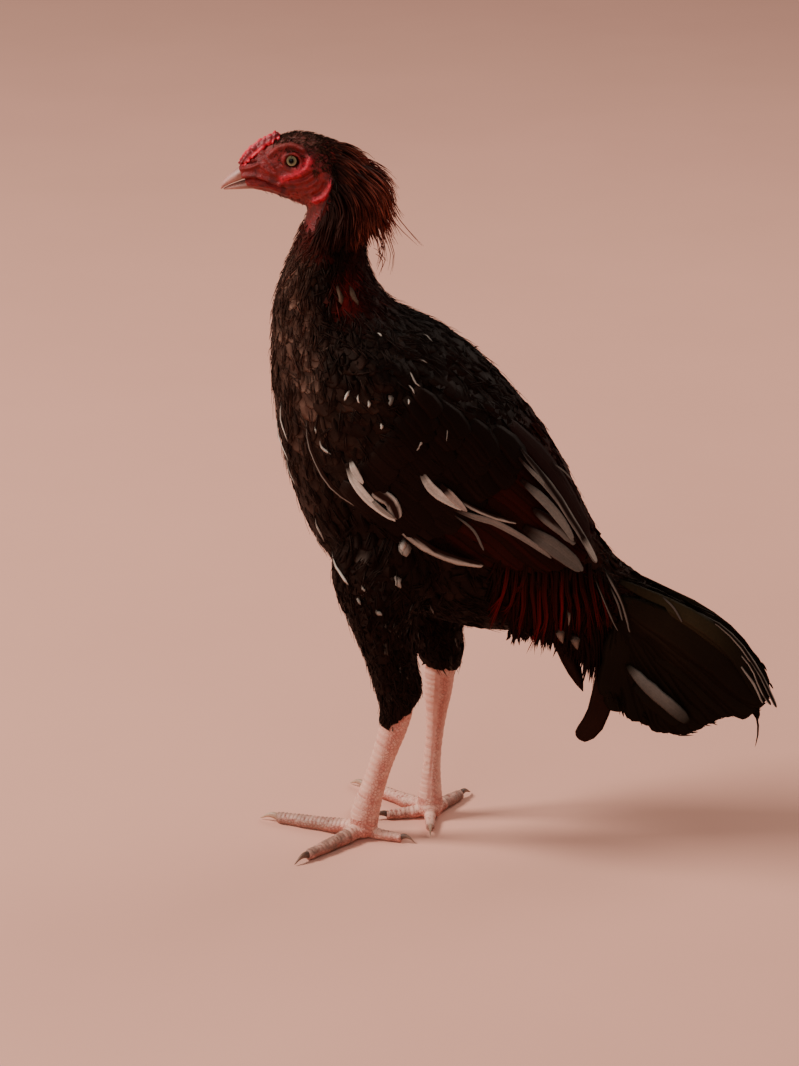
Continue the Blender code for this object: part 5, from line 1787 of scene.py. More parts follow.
@dataclass
class Ruff:
    """The long hackles of the nape, black with mahogany ends that stand off behind; the ends' red
    is partly painted sheen.
    """

    trunk: Trunk
    palette: Plumage
    # the ends' mahogany, partly painted sheen where it is strongest at the back
    end: Colour = (0.250, 0.052, 0.032)
    face_gap: float = 0.0015
    lowest: float = 0.558
    shortest: float = 0.006
    stray_width: float = 0.0006
    widest_turn: float = 2.05
    rise: tuple[float, ...] = (-0.0020, 0.0065, 0.0125, 0.0185)
    bands: tuple[tuple[float, float, int, float, float], ...] = (
        # places from and to, number, length, how far they stand off
        (20.9, 19.6, 460, 0.012, 0.08), (19.6, 18.6, 520, 0.024, 0.44),
        (18.6, 17.6, 600, 0.036, 1.06), (17.6, 16.7, 480, 0.030, 1.20),
        (16.7, 15.9, 200, 0.015, 0.50))

    def build(self) -> Coat:
        """All bands of the ruff and the single strays behind it."""
        draw = np.random.default_rng(19)
        coat = Coat("feathers_hackle")
        look = self.palette
        t = np.array(HACKLE.stations)
        for high, low, number, size, flare in self.bands:
            place = draw.uniform(low, high, number)
            turn = draw.uniform(-self.widest_turn, self.widest_turn, number)
            roots = self.trunk.at(place, turn)
            edge = np.interp(roots[:, 2], FACE_EDGE_Z, FACE_EDGE_X)
            keep = roots[:, 0] > edge + self.face_gap
            place, turn, roots = place[keep], turn[keep], roots[keep]
            number = len(place)
            behind = np.clip(np.cos(turn) * 0.5 + 0.5, 0, 1)
            length = size * draw.uniform(0.75, 1.2, number) * (0.70 + 0.36 * behind)
            room = roots[:, 2] - self.lowest + 0.022 * behind ** 2 + draw.normal(0, 0.005, number)
            length = np.clip(room, self.shortest, length)
            lift = flare * draw.uniform(0.75, 1.12, number) * (0.22 + 0.82 * behind ** 1.5)
            middle, out = surface_paths(self.trunk, place, turn, length,
                                        draw.normal(0, 0.09, number) - 0.10 * turn * behind,
                                        HACKLE.stations, self.rise, lift)
            sway = np.stack((draw.normal(0, 0.0010, number), draw.normal(0, 0.0010, number),
                             0 * length), 1)
            middle = middle + sway[:, None, :] * (t ** 2)[None, :, None]
            # red ends strongest at the back: partly the hackles' own mahogany tips, partly painted
            # sheen on the rear edge
            red = np.clip(behind * 2.6 - 1.60 + draw.normal(0, 0.22, number), 0.05, 1.3)
            base = look.blend(look.black, look.mahogany, draw.random(number) * 0.05)
            base = look.varied(base, draw)
            end = look.varied(look.blend(look.black, self.end, red), draw, 0.4)
            colours = look.blend(base[:, None, :], end[:, None, :], (t[None, :] - 0.35) / 0.5)
            coat.lay(HACKLE, middle, out, draw.uniform(0.0008, 0.0016, number), colours, None,
                     self.trunk.spot(place, turn), draw.normal(0, 0.3, number))
        self.strays(coat, draw)
        return coat

    def strays(self, coat: Coat, draw: np.random.Generator) -> None:
        """Single thin hackles that stand off behind the nape and hang down the neck."""
        t = np.array(HACKLE.stations)
        lines = (
            ((-0.112, 0.608), (-0.099, 0.588), (-0.089, 0.575), (-0.0775, 0.561)),
            ((-0.113, 0.612), (-0.101, 0.597), (-0.092, 0.583)),
            ((-0.112, 0.600), (-0.101, 0.583), (-0.0935, 0.570)),
            ((-0.113, 0.596), (-0.104, 0.576), (-0.098, 0.562)),
            ((-0.114, 0.590), (-0.106, 0.566), (-0.101, 0.548), (-0.1035, 0.533)),
            ((-0.115, 0.585), (-0.108, 0.562), (-0.106, 0.545)),
            ((-0.120, 0.630), (-0.112, 0.628), (-0.106, 0.624)),
            ((-0.122, 0.634), (-0.114, 0.629), (-0.1085, 0.619)),
            ((-0.130, 0.640), (-0.121, 0.639), (-0.115, 0.634)),
            ((-0.116, 0.572), (-0.111, 0.561), (-0.114, 0.551)),
            ((-0.116, 0.566), (-0.112, 0.553), (-0.116, 0.543)),
            ((-0.117, 0.556), (-0.111, 0.547), (-0.1135, 0.537)),
        )
        for line in lines:
            for y in draw.normal(-0.002, 0.006, 3):
                flat = along_line(np.array(line), t) + draw.normal(0, 0.0016, 2)
                wave = np.sin(np.linspace(0, draw.uniform(2, 7), len(t)))
                middle = in_space(flat + wave[:, None] * draw.normal(0, 0.0012, 2), y)[None]
                away = unit(np.array((0.75, math.copysign(0.5, y), 0.4)))
                out = np.broadcast_to(away, middle.shape)
                tone = np.array([self.palette.mahogany]) * draw.uniform(0.25, 1.1)
                coat.lay(HACKLE, middle, out, np.array([self.stray_width]), tone, None,
                         self.trunk.spot(np.array([17.0]), np.array([0.0])))


@dataclass
class Saddle:
    """The saddle: dark red hackles that hang in pointed locks over both flanks."""

    palette: Plumage
    flank: SideField
    under_number: int = 420
    vent_number: int = 520
    strands: int = 9
    free_below: float = 0.238
    bit_colour: Colour = (0.210, 0.150, 0.120)
    locks: tuple[tuple[Line, float, float], ...] = (
        # line in the side view, half width of the lock, how red it is
        (((0.004, 0.300), (0.001, 0.270), (-0.003, 0.248), (-0.015, 0.217)), 0.0030, 1.0),
        (((0.010, 0.300), (0.009, 0.262), (0.004, 0.236), (-0.004, 0.222)), 0.0024, 0.35),
        (((0.020, 0.300), (0.015, 0.262), (0.008, 0.240)), 0.0022, 0.30),
        (((0.018, 0.298), (0.016, 0.259), (0.016, 0.233), (0.011, 0.207)), 0.0030, 0.6),
        (((0.026, 0.298), (0.023, 0.259), (0.026, 0.230), (0.028, 0.196)), 0.0034, 0.35),
        (((0.030, 0.296), (0.029, 0.250), (0.030, 0.215), (0.022, 0.186)), 0.0034, 1.15),
        (((0.038, 0.296), (0.034, 0.256), (0.037, 0.222), (0.032, 0.190)), 0.0030, 0.45),
        (((0.046, 0.294), (0.044, 0.256), (0.045, 0.224), (0.047, 0.200)), 0.0026, 0.3),
        (((0.052, 0.292), (0.050, 0.254), (0.051, 0.228), (0.049, 0.204)), 0.0030, 1.1),
        (((0.056, 0.292), (0.055, 0.254), (0.059, 0.233), (0.058, 0.206)), 0.0028, 0.25),
        (((0.062, 0.290), (0.062, 0.252), (0.066, 0.226), (0.066, 0.206)), 0.0024, 0.4),
        (((0.066, 0.288), (0.068, 0.256), (0.074, 0.232), (0.078, 0.200)), 0.0028, 0.45),
        (((0.074, 0.284), (0.076, 0.257), (0.080, 0.236), (0.086, 0.206)), 0.0024, 0.5),
        (((0.080, 0.280), (0.086, 0.252), (0.090, 0.230), (0.094, 0.210)), 0.0024, 0.35),
    )

    def build(self) -> Coat:
        """A dark layer, then the locks of both sides."""
        draw = np.random.default_rng(29)
        coat = Coat("feathers_saddle")
        for side in Side:
            self.under(coat, side, draw)
            for points, half, red in self.locks:
                lock = np.array(points) + (draw.normal(0, 0.003, 2) if side is Side.RIGHT else 0.0)
                number = self.strands
                at = np.linspace(-1, 1, number)[:, None, None] * np.array((1.0, 0.0))
                fan = half * np.linspace(0.55, 0.10, len(lock))[None, :, None]
                line = lock[None] + at * fan + draw.normal(0, 0.0005, (number, 1, 2))
                line[:, -1, 1] += draw.uniform(-0.010, 0.016, number)
                line[:, -1, 0] += draw.normal(0, 0.0016, number)
                self.hang(coat, side, line, draw.uniform(0.0009, 0.0015, number),
                          0.0052 + 0.0016 * draw.random(number),
                          red * draw.uniform(0.35, 1.2, number), draw)
            self.vent(coat, side, draw)
        # single pale bits over the left side's locks
        bits = np.array((((0.0485, 0.2130), (0.0500, 0.2060), (0.0520, 0.1960)),
                         ((0.0625, 0.2050), (0.0640, 0.1980), (0.0655, 0.1890)),
                         ((0.0560, 0.2330), (0.0575, 0.2230), (0.0570, 0.2130))))
        self.hang(coat, Side.LEFT, bits, np.array((0.0044, 0.0046, 0.0014)),
                  np.array((0.0082, 0.0086, 0.0080)), np.zeros(3), draw, self.bit_colour)
        return coat

    def under(self, coat: Coat, side: Side, draw: np.random.Generator) -> None:
        """The dark layer of one side."""
        number = self.under_number
        share = draw.random(number)
        root = np.stack((-0.012 + 0.104 * share + draw.normal(0, 0.004, number),
                         0.298 - 0.044 * share + draw.uniform(-0.020, 0.008, number)), 1)
        x = root[:, 0] + draw.normal(-0.002, 0.006, number)
        low = np.interp(x, (-0.03, 0.0, 0.03, 0.062, 0.09), (0.222, 0.210, 0.196, 0.196, 0.206))
        tip = np.stack((x, low + np.abs(draw.normal(0, 0.018, number))), 1)
        red = np.clip(draw.normal(0.03, 0.06, number), 0, 0.3)
        self.hang(coat, side, self.bowed(root, tip, 0.003), draw.uniform(0.0012, 0.0024, number),
                  0.0022 + 0.0020 * draw.random(number), red, draw)

    def bowed(self, root: Array, tip: Array, bow: float) -> Array:
        """Lines from roots to tips, their middles moved back by a bow."""
        return np.stack((root, root * 0.5 + tip * 0.5 + np.array((bow, 0.0)), tip), axis=1)

    def vent(self, coat: Coat, side: Side, draw: np.random.Generator) -> None:
        """Soft dark feathers that close the gap between saddle and tail."""
        number = self.vent_number
        x = draw.uniform(0.002, 0.108, number)
        root = np.stack((x, draw.uniform(0.204, 0.232, number)), 1)
        low = np.interp(x, (0.0, 0.014, 0.037, 0.056, 0.070, 0.088, 0.108),
                        (0.196, 0.192, 0.186, 0.176, 0.160, 0.138, 0.142))
        x_end = x + draw.normal(0.004, 0.006, number)
        wave = 0.003 * np.sin(x * 430 + 2 * np.sin(x * 190))
        tip = np.stack((x_end, low + np.abs(draw.normal(0, 0.011, number)) + wave), 1)
        self.hang(coat, side, self.bowed(root, tip, 0.002), draw.uniform(0.0012, 0.0030, number),
                  draw.uniform(-0.010, 0.0, number), 0 * x, draw)

    def hang(self, coat: Coat, side: Side, lines: Array, half_width: Array, height: Array,
             red: Array, draw: np.random.Generator, plain: Colour | None = None) -> None:
        """Hackles along lines of the side view, free below the flank."""
        t = np.array(HACKLE.stations)
        number = len(lines)
        flat = np.stack([along_line(line, t) for line in lines])
        held = np.maximum(flat[..., 1], self.free_below)
        y = self.flank.y(flat[..., 0], held) - 0.10 * (held - flat[..., 1])
        free = np.minimum(t * 3.0, 1)[None, :]
        y = y + height[:, None] * free - 0.004 * (1 - free)
        middle = in_space(flat, side.value * y)
        out = self.flank.outward(flat[..., 0], held, side.value)
        look = self.palette
        full = look.varied(look.blend(plain or look.black, look.scarlet, red), draw, 0.25)
        tones = look.blend(np.array(look.black) * 0.8, full[:, None, :], (t[None, :] - 0.22) / 0.4)
        spot = np.stack((0.3 + side.value * (0.06 + 0.20 * (0.34 - lines[:, 0, 1]) / 0.1),
                         0.04 + lines[:, 0, 0] * 1.5), 1)
        coat.lay(HACKLE, middle, out, half_width, tones, None, np.clip(spot, 0.02, 0.98),
                 draw.normal(0, 0.25, number))


class Mark(enum.Enum):
    """Where a large feather is white."""

    NONE = 0
    LOWER_EDGE = 1
    BOTH_EDGES = 2
    LOWER_WEB = 3
    WHOLE = 4
    END = 5
    FADING = 6


@dataclass(frozen=True)
class KeyFeather:
    """A large feather that the photo shows: its line in the side view, size and marking."""

    line: Line
    half_width: float
    height: float
    mark: Mark = Mark.NONE
    # brightness of the white; on an unmarked feather above 1, the strength of its painted sheen
    light: float = 1.0
    red: float = 0.0


@dataclass
class LargeFeathers:
    """What wings and tail share: large feathers with webs marked white."""

    palette: Plumage
    # a worn white feather's slips, how far they spread and how wide each is, by the half width
    slips: int = 5
    slip_spread: float = 0.62
    slip_width: float = 0.44
    # where along a dark feather its painted sheen lies, and how far it reaches
    painted_sheen_at: float = 0.26
    painted_sheen_reach: float = 0.22
    cell_size: float = 0.085

    def marked(self, mark: Mark, white: Array, tone: Array, kind: VaneKind, side: Side,
               draw: np.random.Generator) -> Array:
        """A large feather's colours over its stations and ring.

        Args:
            mark: Where it is white.
            white: The white's colour.
            tone: The dark colour.
            kind: The feather's outline.
            side: The side of the bird, for which edge is the lower one.
            draw: The random source for the white's uneven edge.

        Returns:
            Colours as (stations, ring points, 3).
        """
        t = np.array(kind.stations)[:, None]
        lower = draw.normal(0, 0.10, t.shape) - side.value * kind.offsets()[None, :]

        def step(value: Array) -> Array:
            """A value cut to 0 to 1."""
            return np.clip(value, 0, 1)

        share = {
            Mark.NONE: 0 * lower,
            Mark.LOWER_EDGE: step((lower - 0.45) / 0.3) * step(t * 4),
            Mark.BOTH_EDGES: step((np.abs(lower) - 0.50) / 0.3) * step(t * 3),
            Mark.LOWER_WEB: step((lower + 0.05) / 0.3) * step(t * 4 - 0.3),
            Mark.WHOLE: step(t * 5 - 0.5) * step(1.15 + 0.35 * lower),
            Mark.END: step((t - 0.30) / 0.2) * np.ones_like(lower),
            Mark.FADING: step(t * 7 - 0.3) * step(0.9 - 0.3 * lower) * step((0.94 - t) / 0.42),
        }[mark][..., None]
        return tone * (1 - share) + white * share

    def lay_marked(self, coat: Coat, side: Side, kind: VaneKind, middle: Array, out: Array,
                   key: KeyFeather, tone: Array, cell: int, draw: np.random.Generator) -> None:
        """Lays one large feather with its marking."""
        look = self.palette
        white = np.array(look.white) * key.light * (1 - key.red) + np.array(look.rust) * key.red
        spot = np.array([[0.06 + 0.098 * (cell % 10), 0.06 + 0.098 * (cell // 10 % 10)]])
        torn = key.mark in (Mark.WHOLE, Mark.END) and key.half_width > 0.002
        across = unit(np.cross(np.gradient(middle, axis=0), out))
        t = np.array(kind.stations)[:, None]
        # an unmarked feather with light over 1 gets a painted sheen near its root
        if key.mark is Mark.NONE and key.light > 1:
            painted_sheen = np.exp(-((t[..., None] - self.painted_sheen_at) / self.painted_sheen_reach) ** 2)
            tone = tone * (1 + (key.light - 1) * painted_sheen)
        places = np.linspace(-self.slip_spread, self.slip_spread, self.slips) if torn else (0.0,)
        for at in places:
            bright = white * draw.uniform(0.82, 1.06)
            colours = self.marked(key.mark, bright, tone, kind, side, draw)
            bulge = np.sin(math.pi * np.minimum(0.12 + 0.75 * t, 1))
            spread = across * (at * key.half_width * bulge)
            short = 1 - (0.16 * abs(at) + draw.uniform(0, 0.10)) * torn
            line = along_line(middle + spread, t[:, 0] * short) + out * (0.0004 * abs(at))
            half = key.half_width * (self.slip_width * draw.uniform(0.85, 1.2) if torn else 1)
            coat.lay(kind, line[None], out[None], np.array([half]), np.zeros((1, 3)), None, spot,
                     np.array([-0.05 * side.value]), 0.20, draw, self.cell_size)
            coat.tints[-1] = colours.reshape(-1, 3)


@dataclass
class Wings(LargeFeathers):
    """Both folded wings: flight feathers, coverts in tiers and the marked feathers."""

    flank: SideField = field(default_factory=SideField)
    flights: int = 17
    first_root: tuple[float, float] = (-0.128, 0.345)
    last_root: tuple[float, float] = (0.000, 0.410)
    tips: Line = ((-0.020, 0.283), (0.010, 0.275), (0.040, 0.272), (0.064, 0.273), (0.077, 0.284),
                  (0.073, 0.300))
    # how far back a tier of coverts starts, number, length, half width, its lowest root
    covert_tiers: tuple[tuple[float, int, float, float, float], ...] = (
        (0.88, 16, 0.050, 0.0112, 0.16), (0.76, 17, 0.044, 0.0102, 0.08),
        (0.64, 18, 0.040, 0.0096, 0.04), (0.52, 18, 0.036, 0.0092, 0.02))
    keys: tuple[KeyFeather, ...] = (
        KeyFeather(((-0.112, 0.336), (-0.082, 0.3085), (-0.055, 0.2910), (-0.021, 0.2807)),
                   0.0054, 0.0076, Mark.LOWER_WEB, 0.62),
        KeyFeather(((-0.128, 0.365), (-0.114, 0.354), (-0.103, 0.346), (-0.097, 0.330)),
                   0.0066, 0.0100, Mark.BOTH_EDGES, 0.85, 0.06),
        KeyFeather(((-0.142, 0.382), (-0.134, 0.364), (-0.120, 0.346), (-0.098, 0.327)),
                   0.0042, 0.0112, Mark.WHOLE, 1.0),
        KeyFeather(((-0.1385, 0.3860), (-0.1345, 0.3760), (-0.1270, 0.3640)),
                   0.0030, 0.0118, Mark.WHOLE, 0.95),
        KeyFeather(((-0.122, 0.352), (-0.112, 0.341), (-0.100, 0.331)), 0.0022, 0.0122, Mark.WHOLE,
                   0.42),
        KeyFeather(((-0.050, 0.334), (-0.031, 0.318), (-0.0207, 0.2967)),
                   0.0013, 0.0098, Mark.WHOLE, 0.20),
        KeyFeather(((-0.078, 0.376), (-0.064, 0.356), (-0.039, 0.3375)), 0.0044, 0.0114, Mark.WHOLE,
                   0.92),
        KeyFeather(((-0.060, 0.363), (-0.050, 0.352), (-0.036, 0.336)), 0.0034, 0.0124, Mark.END,
                   0.75, 0.25),
        KeyFeather(((-0.052, 0.352), (-0.020, 0.3325), (0.008, 0.321)),
                   0.0022, 0.0112, Mark.LOWER_WEB, 0.60),
        KeyFeather(((-0.051, 0.339), (-0.030, 0.330), (-0.0095, 0.322), (0.018, 0.303),
                    (0.041, 0.283)), 0.0030, 0.0104, Mark.WHOLE, 0.40, 0.12),
        KeyFeather(((0.015, 0.315), (0.0365, 0.299), (0.055, 0.282), (0.069, 0.2675)),
                   0.0074, 0.0104, Mark.WHOLE, 0.22),
        KeyFeather(((0.023, 0.331), (0.043, 0.314), (0.062, 0.294)), 0.0056, 0.0112, Mark.LOWER_WEB,
                   0.30),
        KeyFeather(((0.0117, 0.3584), (0.031, 0.340), (0.049, 0.3165), (0.061, 0.295)),
                   0.0044, 0.0118, Mark.WHOLE, 0.32),
        KeyFeather(((0.009, 0.3785), (0.034, 0.350), (0.060, 0.3125)), 0.0022, 0.0124, Mark.WHOLE,
                   0.34),
        KeyFeather(((0.0117, 0.3854), (0.039, 0.348), (0.064, 0.306), (0.0815, 0.273)),
                   0.0046, 0.0130, Mark.BOTH_EDGES, 0.34),
        KeyFeather(((0.064, 0.306), (0.073, 0.2895), (0.0815, 0.2735)), 0.0030, 0.0136, Mark.END,
                   0.55),
        KeyFeather(((0.040, 0.3665), (0.050, 0.3575), (0.059, 0.3465)), 0.0010, 0.0120, Mark.WHOLE,
                   0.22),
        KeyFeather(((-0.177, 0.416), (-0.173, 0.388), (-0.156, 0.357), (-0.128, 0.337)),
                   0.0028, 0.0062, Mark.LOWER_EDGE, 0.42),
    )

    def build(self, side: Side) -> Coat:
        """The feathers of one wing."""
        coat = Coat("feathers_wing_" + side.word)
        draw = np.random.default_rng(61 + side.value)
        self.flight_feathers(coat, side, draw)
        self.tiers(coat, side, draw)
        look = self.palette
        for cell, key in enumerate(self.keys):
            tone = look.dark(look.brown, 0.3, draw)
            line = np.array(key.line)
            if side is Side.RIGHT:
                line = line + draw.normal(0, 0.0012, 2) - (0.002, 0.004)
            self.lay_vane(coat, side, FLIGHT, line, key, tone, 20 + cell, draw)
        return coat

    def lay_vane(self, coat: Coat, side: Side, kind: VaneKind, line: Array, key: KeyFeather,
                 tone: Array, cell: int, draw: np.random.Generator) -> None:
        """One large feather on the wing, along a line of the side view."""
        t = np.array(kind.stations)
        flat = along_line(line, t)
        y = self.flank.y(flat[:, 0], flat[:, 1]) + key.height - 0.003 * (1 - np.minimum(t * 4, 1))
        out = self.flank.outward(flat[:, 0], flat[:, 1], side.value)
        middle = in_space(flat, side.value * y)
        self.lay_marked(coat, side, kind, middle, out, key, tone, cell, draw)

    def flight_feathers(self, coat: Coat, side: Side, draw: np.random.Generator) -> None:
        """The fan of long feathers under the coverts, the upper ones outermost."""
        look = self.palette
        for i in range(self.flights):
            share = i / (self.flights - 1)
            root = np.array(self.first_root) * (1 - share) + np.array(self.last_root) * share
            tip = along_line(self.tips, np.array([share]))[0] + draw.normal(0, 0.0012, 2)
            way = unit(tip - root)
            middle = (root + tip) / 2 + np.array((-way[1], way[0])) * 0.006
            tone = look.dark(look.blood, 0.03 + 0.14 * draw.random(), draw)
            self.lay_vane(coat, side, FLIGHT, np.array((root, middle, tip)),
                          KeyFeather((), 0.0118, 0.0016 + 0.0062 * share), tone, i, draw)

    def tiers(self, coat: Coat, side: Side, draw: np.random.Generator) -> None:
        """Greater and median coverts and the long shoulder feathers, each tier over the next."""
        look = self.palette
        rows = np.array(WING_CORE)
        for tier, (back, number, length, half, low) in enumerate(self.covert_tiers):
            for i in range(number):
                up = low + (0.84 - low) * i / (number - 1)
                row = curve_row(rows, np.array([back * 6]))[0]
                root = row[:2] * (1 - up) + row[2:4] * up + draw.normal(0, 0.0016, 2)
                angle = -math.radians(37 + 14 * up + draw.normal(0, 2.5))
                way = np.array((math.cos(angle), math.sin(angle)))
                step = way * length * draw.uniform(0.9, 1.12)
                bend = np.array((step[1], -step[0])) * -0.06
                line = np.array((root, root + step * 0.5 + bend, root + step))
                tone = look.dark(look.brown, draw.random() * 0.15, draw, 0.15)
                height = 0.0064 + 0.0030 * up + 0.0009 * tier
                self.lay_vane(coat, side, COVERT, line, KeyFeather((), half, height), tone,
                              40 + (tier * 18 + i) % 60, draw)


@dataclass
class Tail(LargeFeathers):
    """The tail, carried low: broad feathers, sickles and marked feathers at its root."""

    ridge_line: Line = ((0.105, 0.264), (0.252, 0.150))
    pivot: tuple[float, float] = (0.104, 0.234)
    tips: Line = (
        (0.2400, 0.132), (0.2310, 0.122), (0.2190, 0.120), (0.2060, 0.118), (0.1880, 0.110),
        (0.1700, 0.103), (0.1550, 0.102), (0.1400, 0.108), (0.1230, 0.115), (0.1080, 0.125),
        (0.0960, 0.138))
    top: Line = ((0.110, 0.252), (0.150, 0.229), (0.188, 0.2025), (0.228, 0.168), (0.242, 0.138))
    fan: int = 22
    # half the tail's width at its ridge, how it grows below, and where the fleshy root fills it
    ridge_width: float = 0.0024
    roof_slope: float = 0.15
    root_x: tuple[float, ...] = (0.045, 0.075, 0.100, 0.130, 0.165)
    root_width: tuple[float, ...] = (0.034, 0.0270, 0.0190, 0.0100, 0.0)
    keys: tuple[KeyFeather, ...] = (
        KeyFeather(((0.112, 0.200), (0.150, 0.172), (0.190, 0.136), (0.205, 0.120)),
                   0.0100, 0.0066),
        KeyFeather(((0.1121, 0.1687), (0.1234, 0.1570), (0.1373, 0.1440), (0.1532, 0.1297),
                    (0.1690, 0.1150)), 0.0066, 0.0112, Mark.FADING, 0.24),
        KeyFeather(((0.118, 0.150), (0.138, 0.134), (0.160, 0.114)), 0.0085, 0.0098),
        # the next two dark feathers carry a painted sheen near their roots
        KeyFeather(((0.104, 0.250), (0.150, 0.2230), (0.188, 0.1960), (0.222, 0.1655),
                    (0.2410, 0.132)), 0.0080, 0.0084, Mark.NONE, 5.5),
        KeyFeather(((0.112, 0.245), (0.170, 0.2125), (0.212, 0.177), (0.235, 0.136)),
                   0.0085, 0.0098, Mark.NONE, 5.0),
        KeyFeather(((0.170, 0.218), (0.195, 0.2050), (0.213, 0.1885), (0.2300, 0.164),
                    (0.2410, 0.144), (0.2495, 0.126)), 0.0022, 0.0112, Mark.BOTH_EDGES, 0.50),
        KeyFeather(((0.200, 0.192), (0.224, 0.1680), (0.2355, 0.143), (0.2440, 0.129)),
                   0.0019, 0.0122, Mark.LOWER_EDGE, 0.65),
        KeyFeather(((0.205, 0.180), (0.2270, 0.152), (0.2370, 0.131)),
                   0.0019, 0.0118, Mark.LOWER_WEB, 0.50),
        KeyFeather(((0.0885, 0.2640), (0.0939, 0.2555), (0.1015, 0.2415), (0.1083, 0.2235),
                    (0.1134, 0.2022)), 0.0017, 0.0072, Mark.LOWER_WEB, 0.30),
        KeyFeather(((0.0791, 0.2595), (0.0849, 0.2463), (0.0916, 0.2300), (0.0974, 0.2157),
                    (0.1023, 0.2054)), 0.0012, 0.0078, Mark.LOWER_WEB, 0.22),
        KeyFeather(((0.0930, 0.2500), (0.1010, 0.2330), (0.1060, 0.2150)),
                   0.0009, 0.0082, Mark.WHOLE, 0.20),
        KeyFeather(((0.138, 0.236), (0.152, 0.2240), (0.1610, 0.209)), 0.0010, 0.0104, Mark.WHOLE,
                   0.14),
    )
    lone: tuple[KeyFeather, ...] = (
        # near the middle, on neither side: sickle, pointed feather, filament
        KeyFeather(((0.100, 0.205), (0.0979, 0.1700), (0.0930, 0.1383), (0.0845, 0.1084),
                    (0.0700, 0.0894)), 0.0118, 0.0, Mark.NONE, 0.0, 0.42),
        KeyFeather(((0.0440, 0.2050), (0.0570, 0.1760), (0.0651, 0.1581), (0.0728, 0.1373)),
                   0.0085, 0.0, Mark.NONE, 0.0, 0.25),
        KeyFeather(((0.196, 0.165), (0.2158, 0.1383), (0.2311, 0.1204), (0.2343, 0.1064)),
                   0.0064, 0.0),
        KeyFeather(((0.2300, 0.1230), (0.2343, 0.1064), (0.2350, 0.0930), (0.2325, 0.0800)),
                   0.0011, 0.0))

    def reach(self, x: Array, z: Array) -> Array:
        """Half the tail's width at points of the side view, roof-shaped under its ridge."""
        start, end = np.array(self.ridge_line[0]), np.array(self.ridge_line[1])
        along = unit(end - start)
        below = np.array((along[1], -along[0]))
        depth = (x - start[0]) * below[0] + (z - start[1]) * below[1]
        root = np.interp(x, self.root_x, self.root_width) * np.clip(0.4 + depth * 40, 0, 1)
        return np.maximum(self.ridge_width + self.roof_slope * np.maximum(depth, 0.0), root)

    def build(self) -> Coat:
        """All the tail's feathers on both sides."""
        coat = Coat("feathers_tail_fan")
        draw = np.random.default_rng(83)
        look = self.palette
        cell = 0
        for side in Side:
            for k in range(self.fan):
                share = k / (self.fan - 1)
                root = self.pivot + np.array((0.004, -0.022)) * share
                tip = along_line(self.tips, np.array([share]))[0] + draw.normal(0, 0.0018, 2)
                reach = tip - root
                up = unit(np.array((-reach[1], reach[0])))
                middle = (root + tip) / 2 + up * (0.005 * (1 - share) + 0.001)
                tone = look.dark(look.green, 0.5, draw, 0.08)
                # the upper fan feathers get a painted sheen near their roots
                light = 1 + 1.2 * math.exp(-(k / 5) ** 2)
                key = KeyFeather((), 0.0160, 0.0004 * (self.fan - 1 - k), Mark.NONE, light)
                self.lay(coat, side, np.array((root, middle, tip)), key, tone, cell, draw)
                cell += 1
            for key in self.keys:
                line = np.array(key.line)
                if side is Side.RIGHT:
                    line = line + draw.normal(0, 0.0015, 2)
                tone = look.dark(look.green, 0.5 + 0.4 * draw.random(), draw, 0.15)
                self.lay(coat, side, line, key, tone, cell, draw)
                cell += 1
        for key in self.lone:
            tone = np.array(look.black) * (1 - key.red) + np.array(look.brown) * 1.3 * key.red
            kind = FLIGHT if key.red > 0.4 else HACKLE
            self.lay(coat, Side.LEFT, np.array(key.line), key, tone, cell, draw, 0.2, kind)
            cell += 1
        self.fringe(coat, draw)
        return coat

    def lay(self, coat: Coat, side: Side, line: Array, key: KeyFeather, tone: Array, cell: int,
            draw: np.random.Generator, share: float = 1.0, kind: VaneKind = FLIGHT) -> None:
        """One tail feather along a line of the side view, at a share of the tail's half width."""
        t = np.array(kind.stations)
        flat = along_line(line, t)
        y = self.reach(flat[:, 0], flat[:, 1]) + key.height * np.minimum(0.35 + t * 2, 1)
        middle = in_space(flat, side.value * share * y)
        out = np.broadcast_to(unit(np.array((0.10, side.value, 0.12))), middle.shape)
        self.lay_marked(coat, side, kind, middle, out, key, tone, cell, draw)

    def fringe(self, coat: Coat, draw: np.random.Generator) -> None:
        """Loose barbs along the tail's upper edge and lower rim."""
        look = self.palette
        t = np.array(HACKLE.stations)
        # each edge's line, the barbs' length, how far they turn off it, and their number
        edges = ((self.top, 0.012, 0.22, 260), (self.tips[::-1], 0.016, -1.0, 560))
        for line, reach, turn, number in edges:
            share = draw.random(number)
            start = along_line(line, share) + draw.normal(0, 0.0016, (number, 2))
            way = (along_line(line, np.minimum(share + 0.03, 1))
                   - along_line(line, np.maximum(share - 0.03, 0)))
            angle = np.arctan2(way[:, 1], way[:, 0]) + turn * draw.uniform(0.2, 1.0, number)
            length = (reach * draw.uniform(0.5, 1.1, number))[:, None]
            step = np.stack((np.cos(angle), np.sin(angle)), 1) * length
            start = start - step * (0.75 if turn < 0 else 0.45)
            flat = start[:, None, :] + step[:, None, :] * t[None, :, None]
            sign = np.where(draw.random(number) < 0.5, -1.0, 1.0)
            wide = self.reach(flat[..., 0], flat[..., 1])
            y = wide * draw.uniform(0.2, 1.1, number)[:, None] + 0.002
            middle = in_space(flat, sign[:, None] * y)
            out = np.stack((0 * y, sign[:, None] + 0 * y, 0.2 + 0 * y), axis=-1)
            tone = look.varied(look.blend(look.black, look.green, draw.random(number)), draw)
            coat.lay(HACKLE, middle, unit(out), draw.uniform(0.0005, 0.0011, number), tone, None,
                     np.full((number, 2), 0.97))


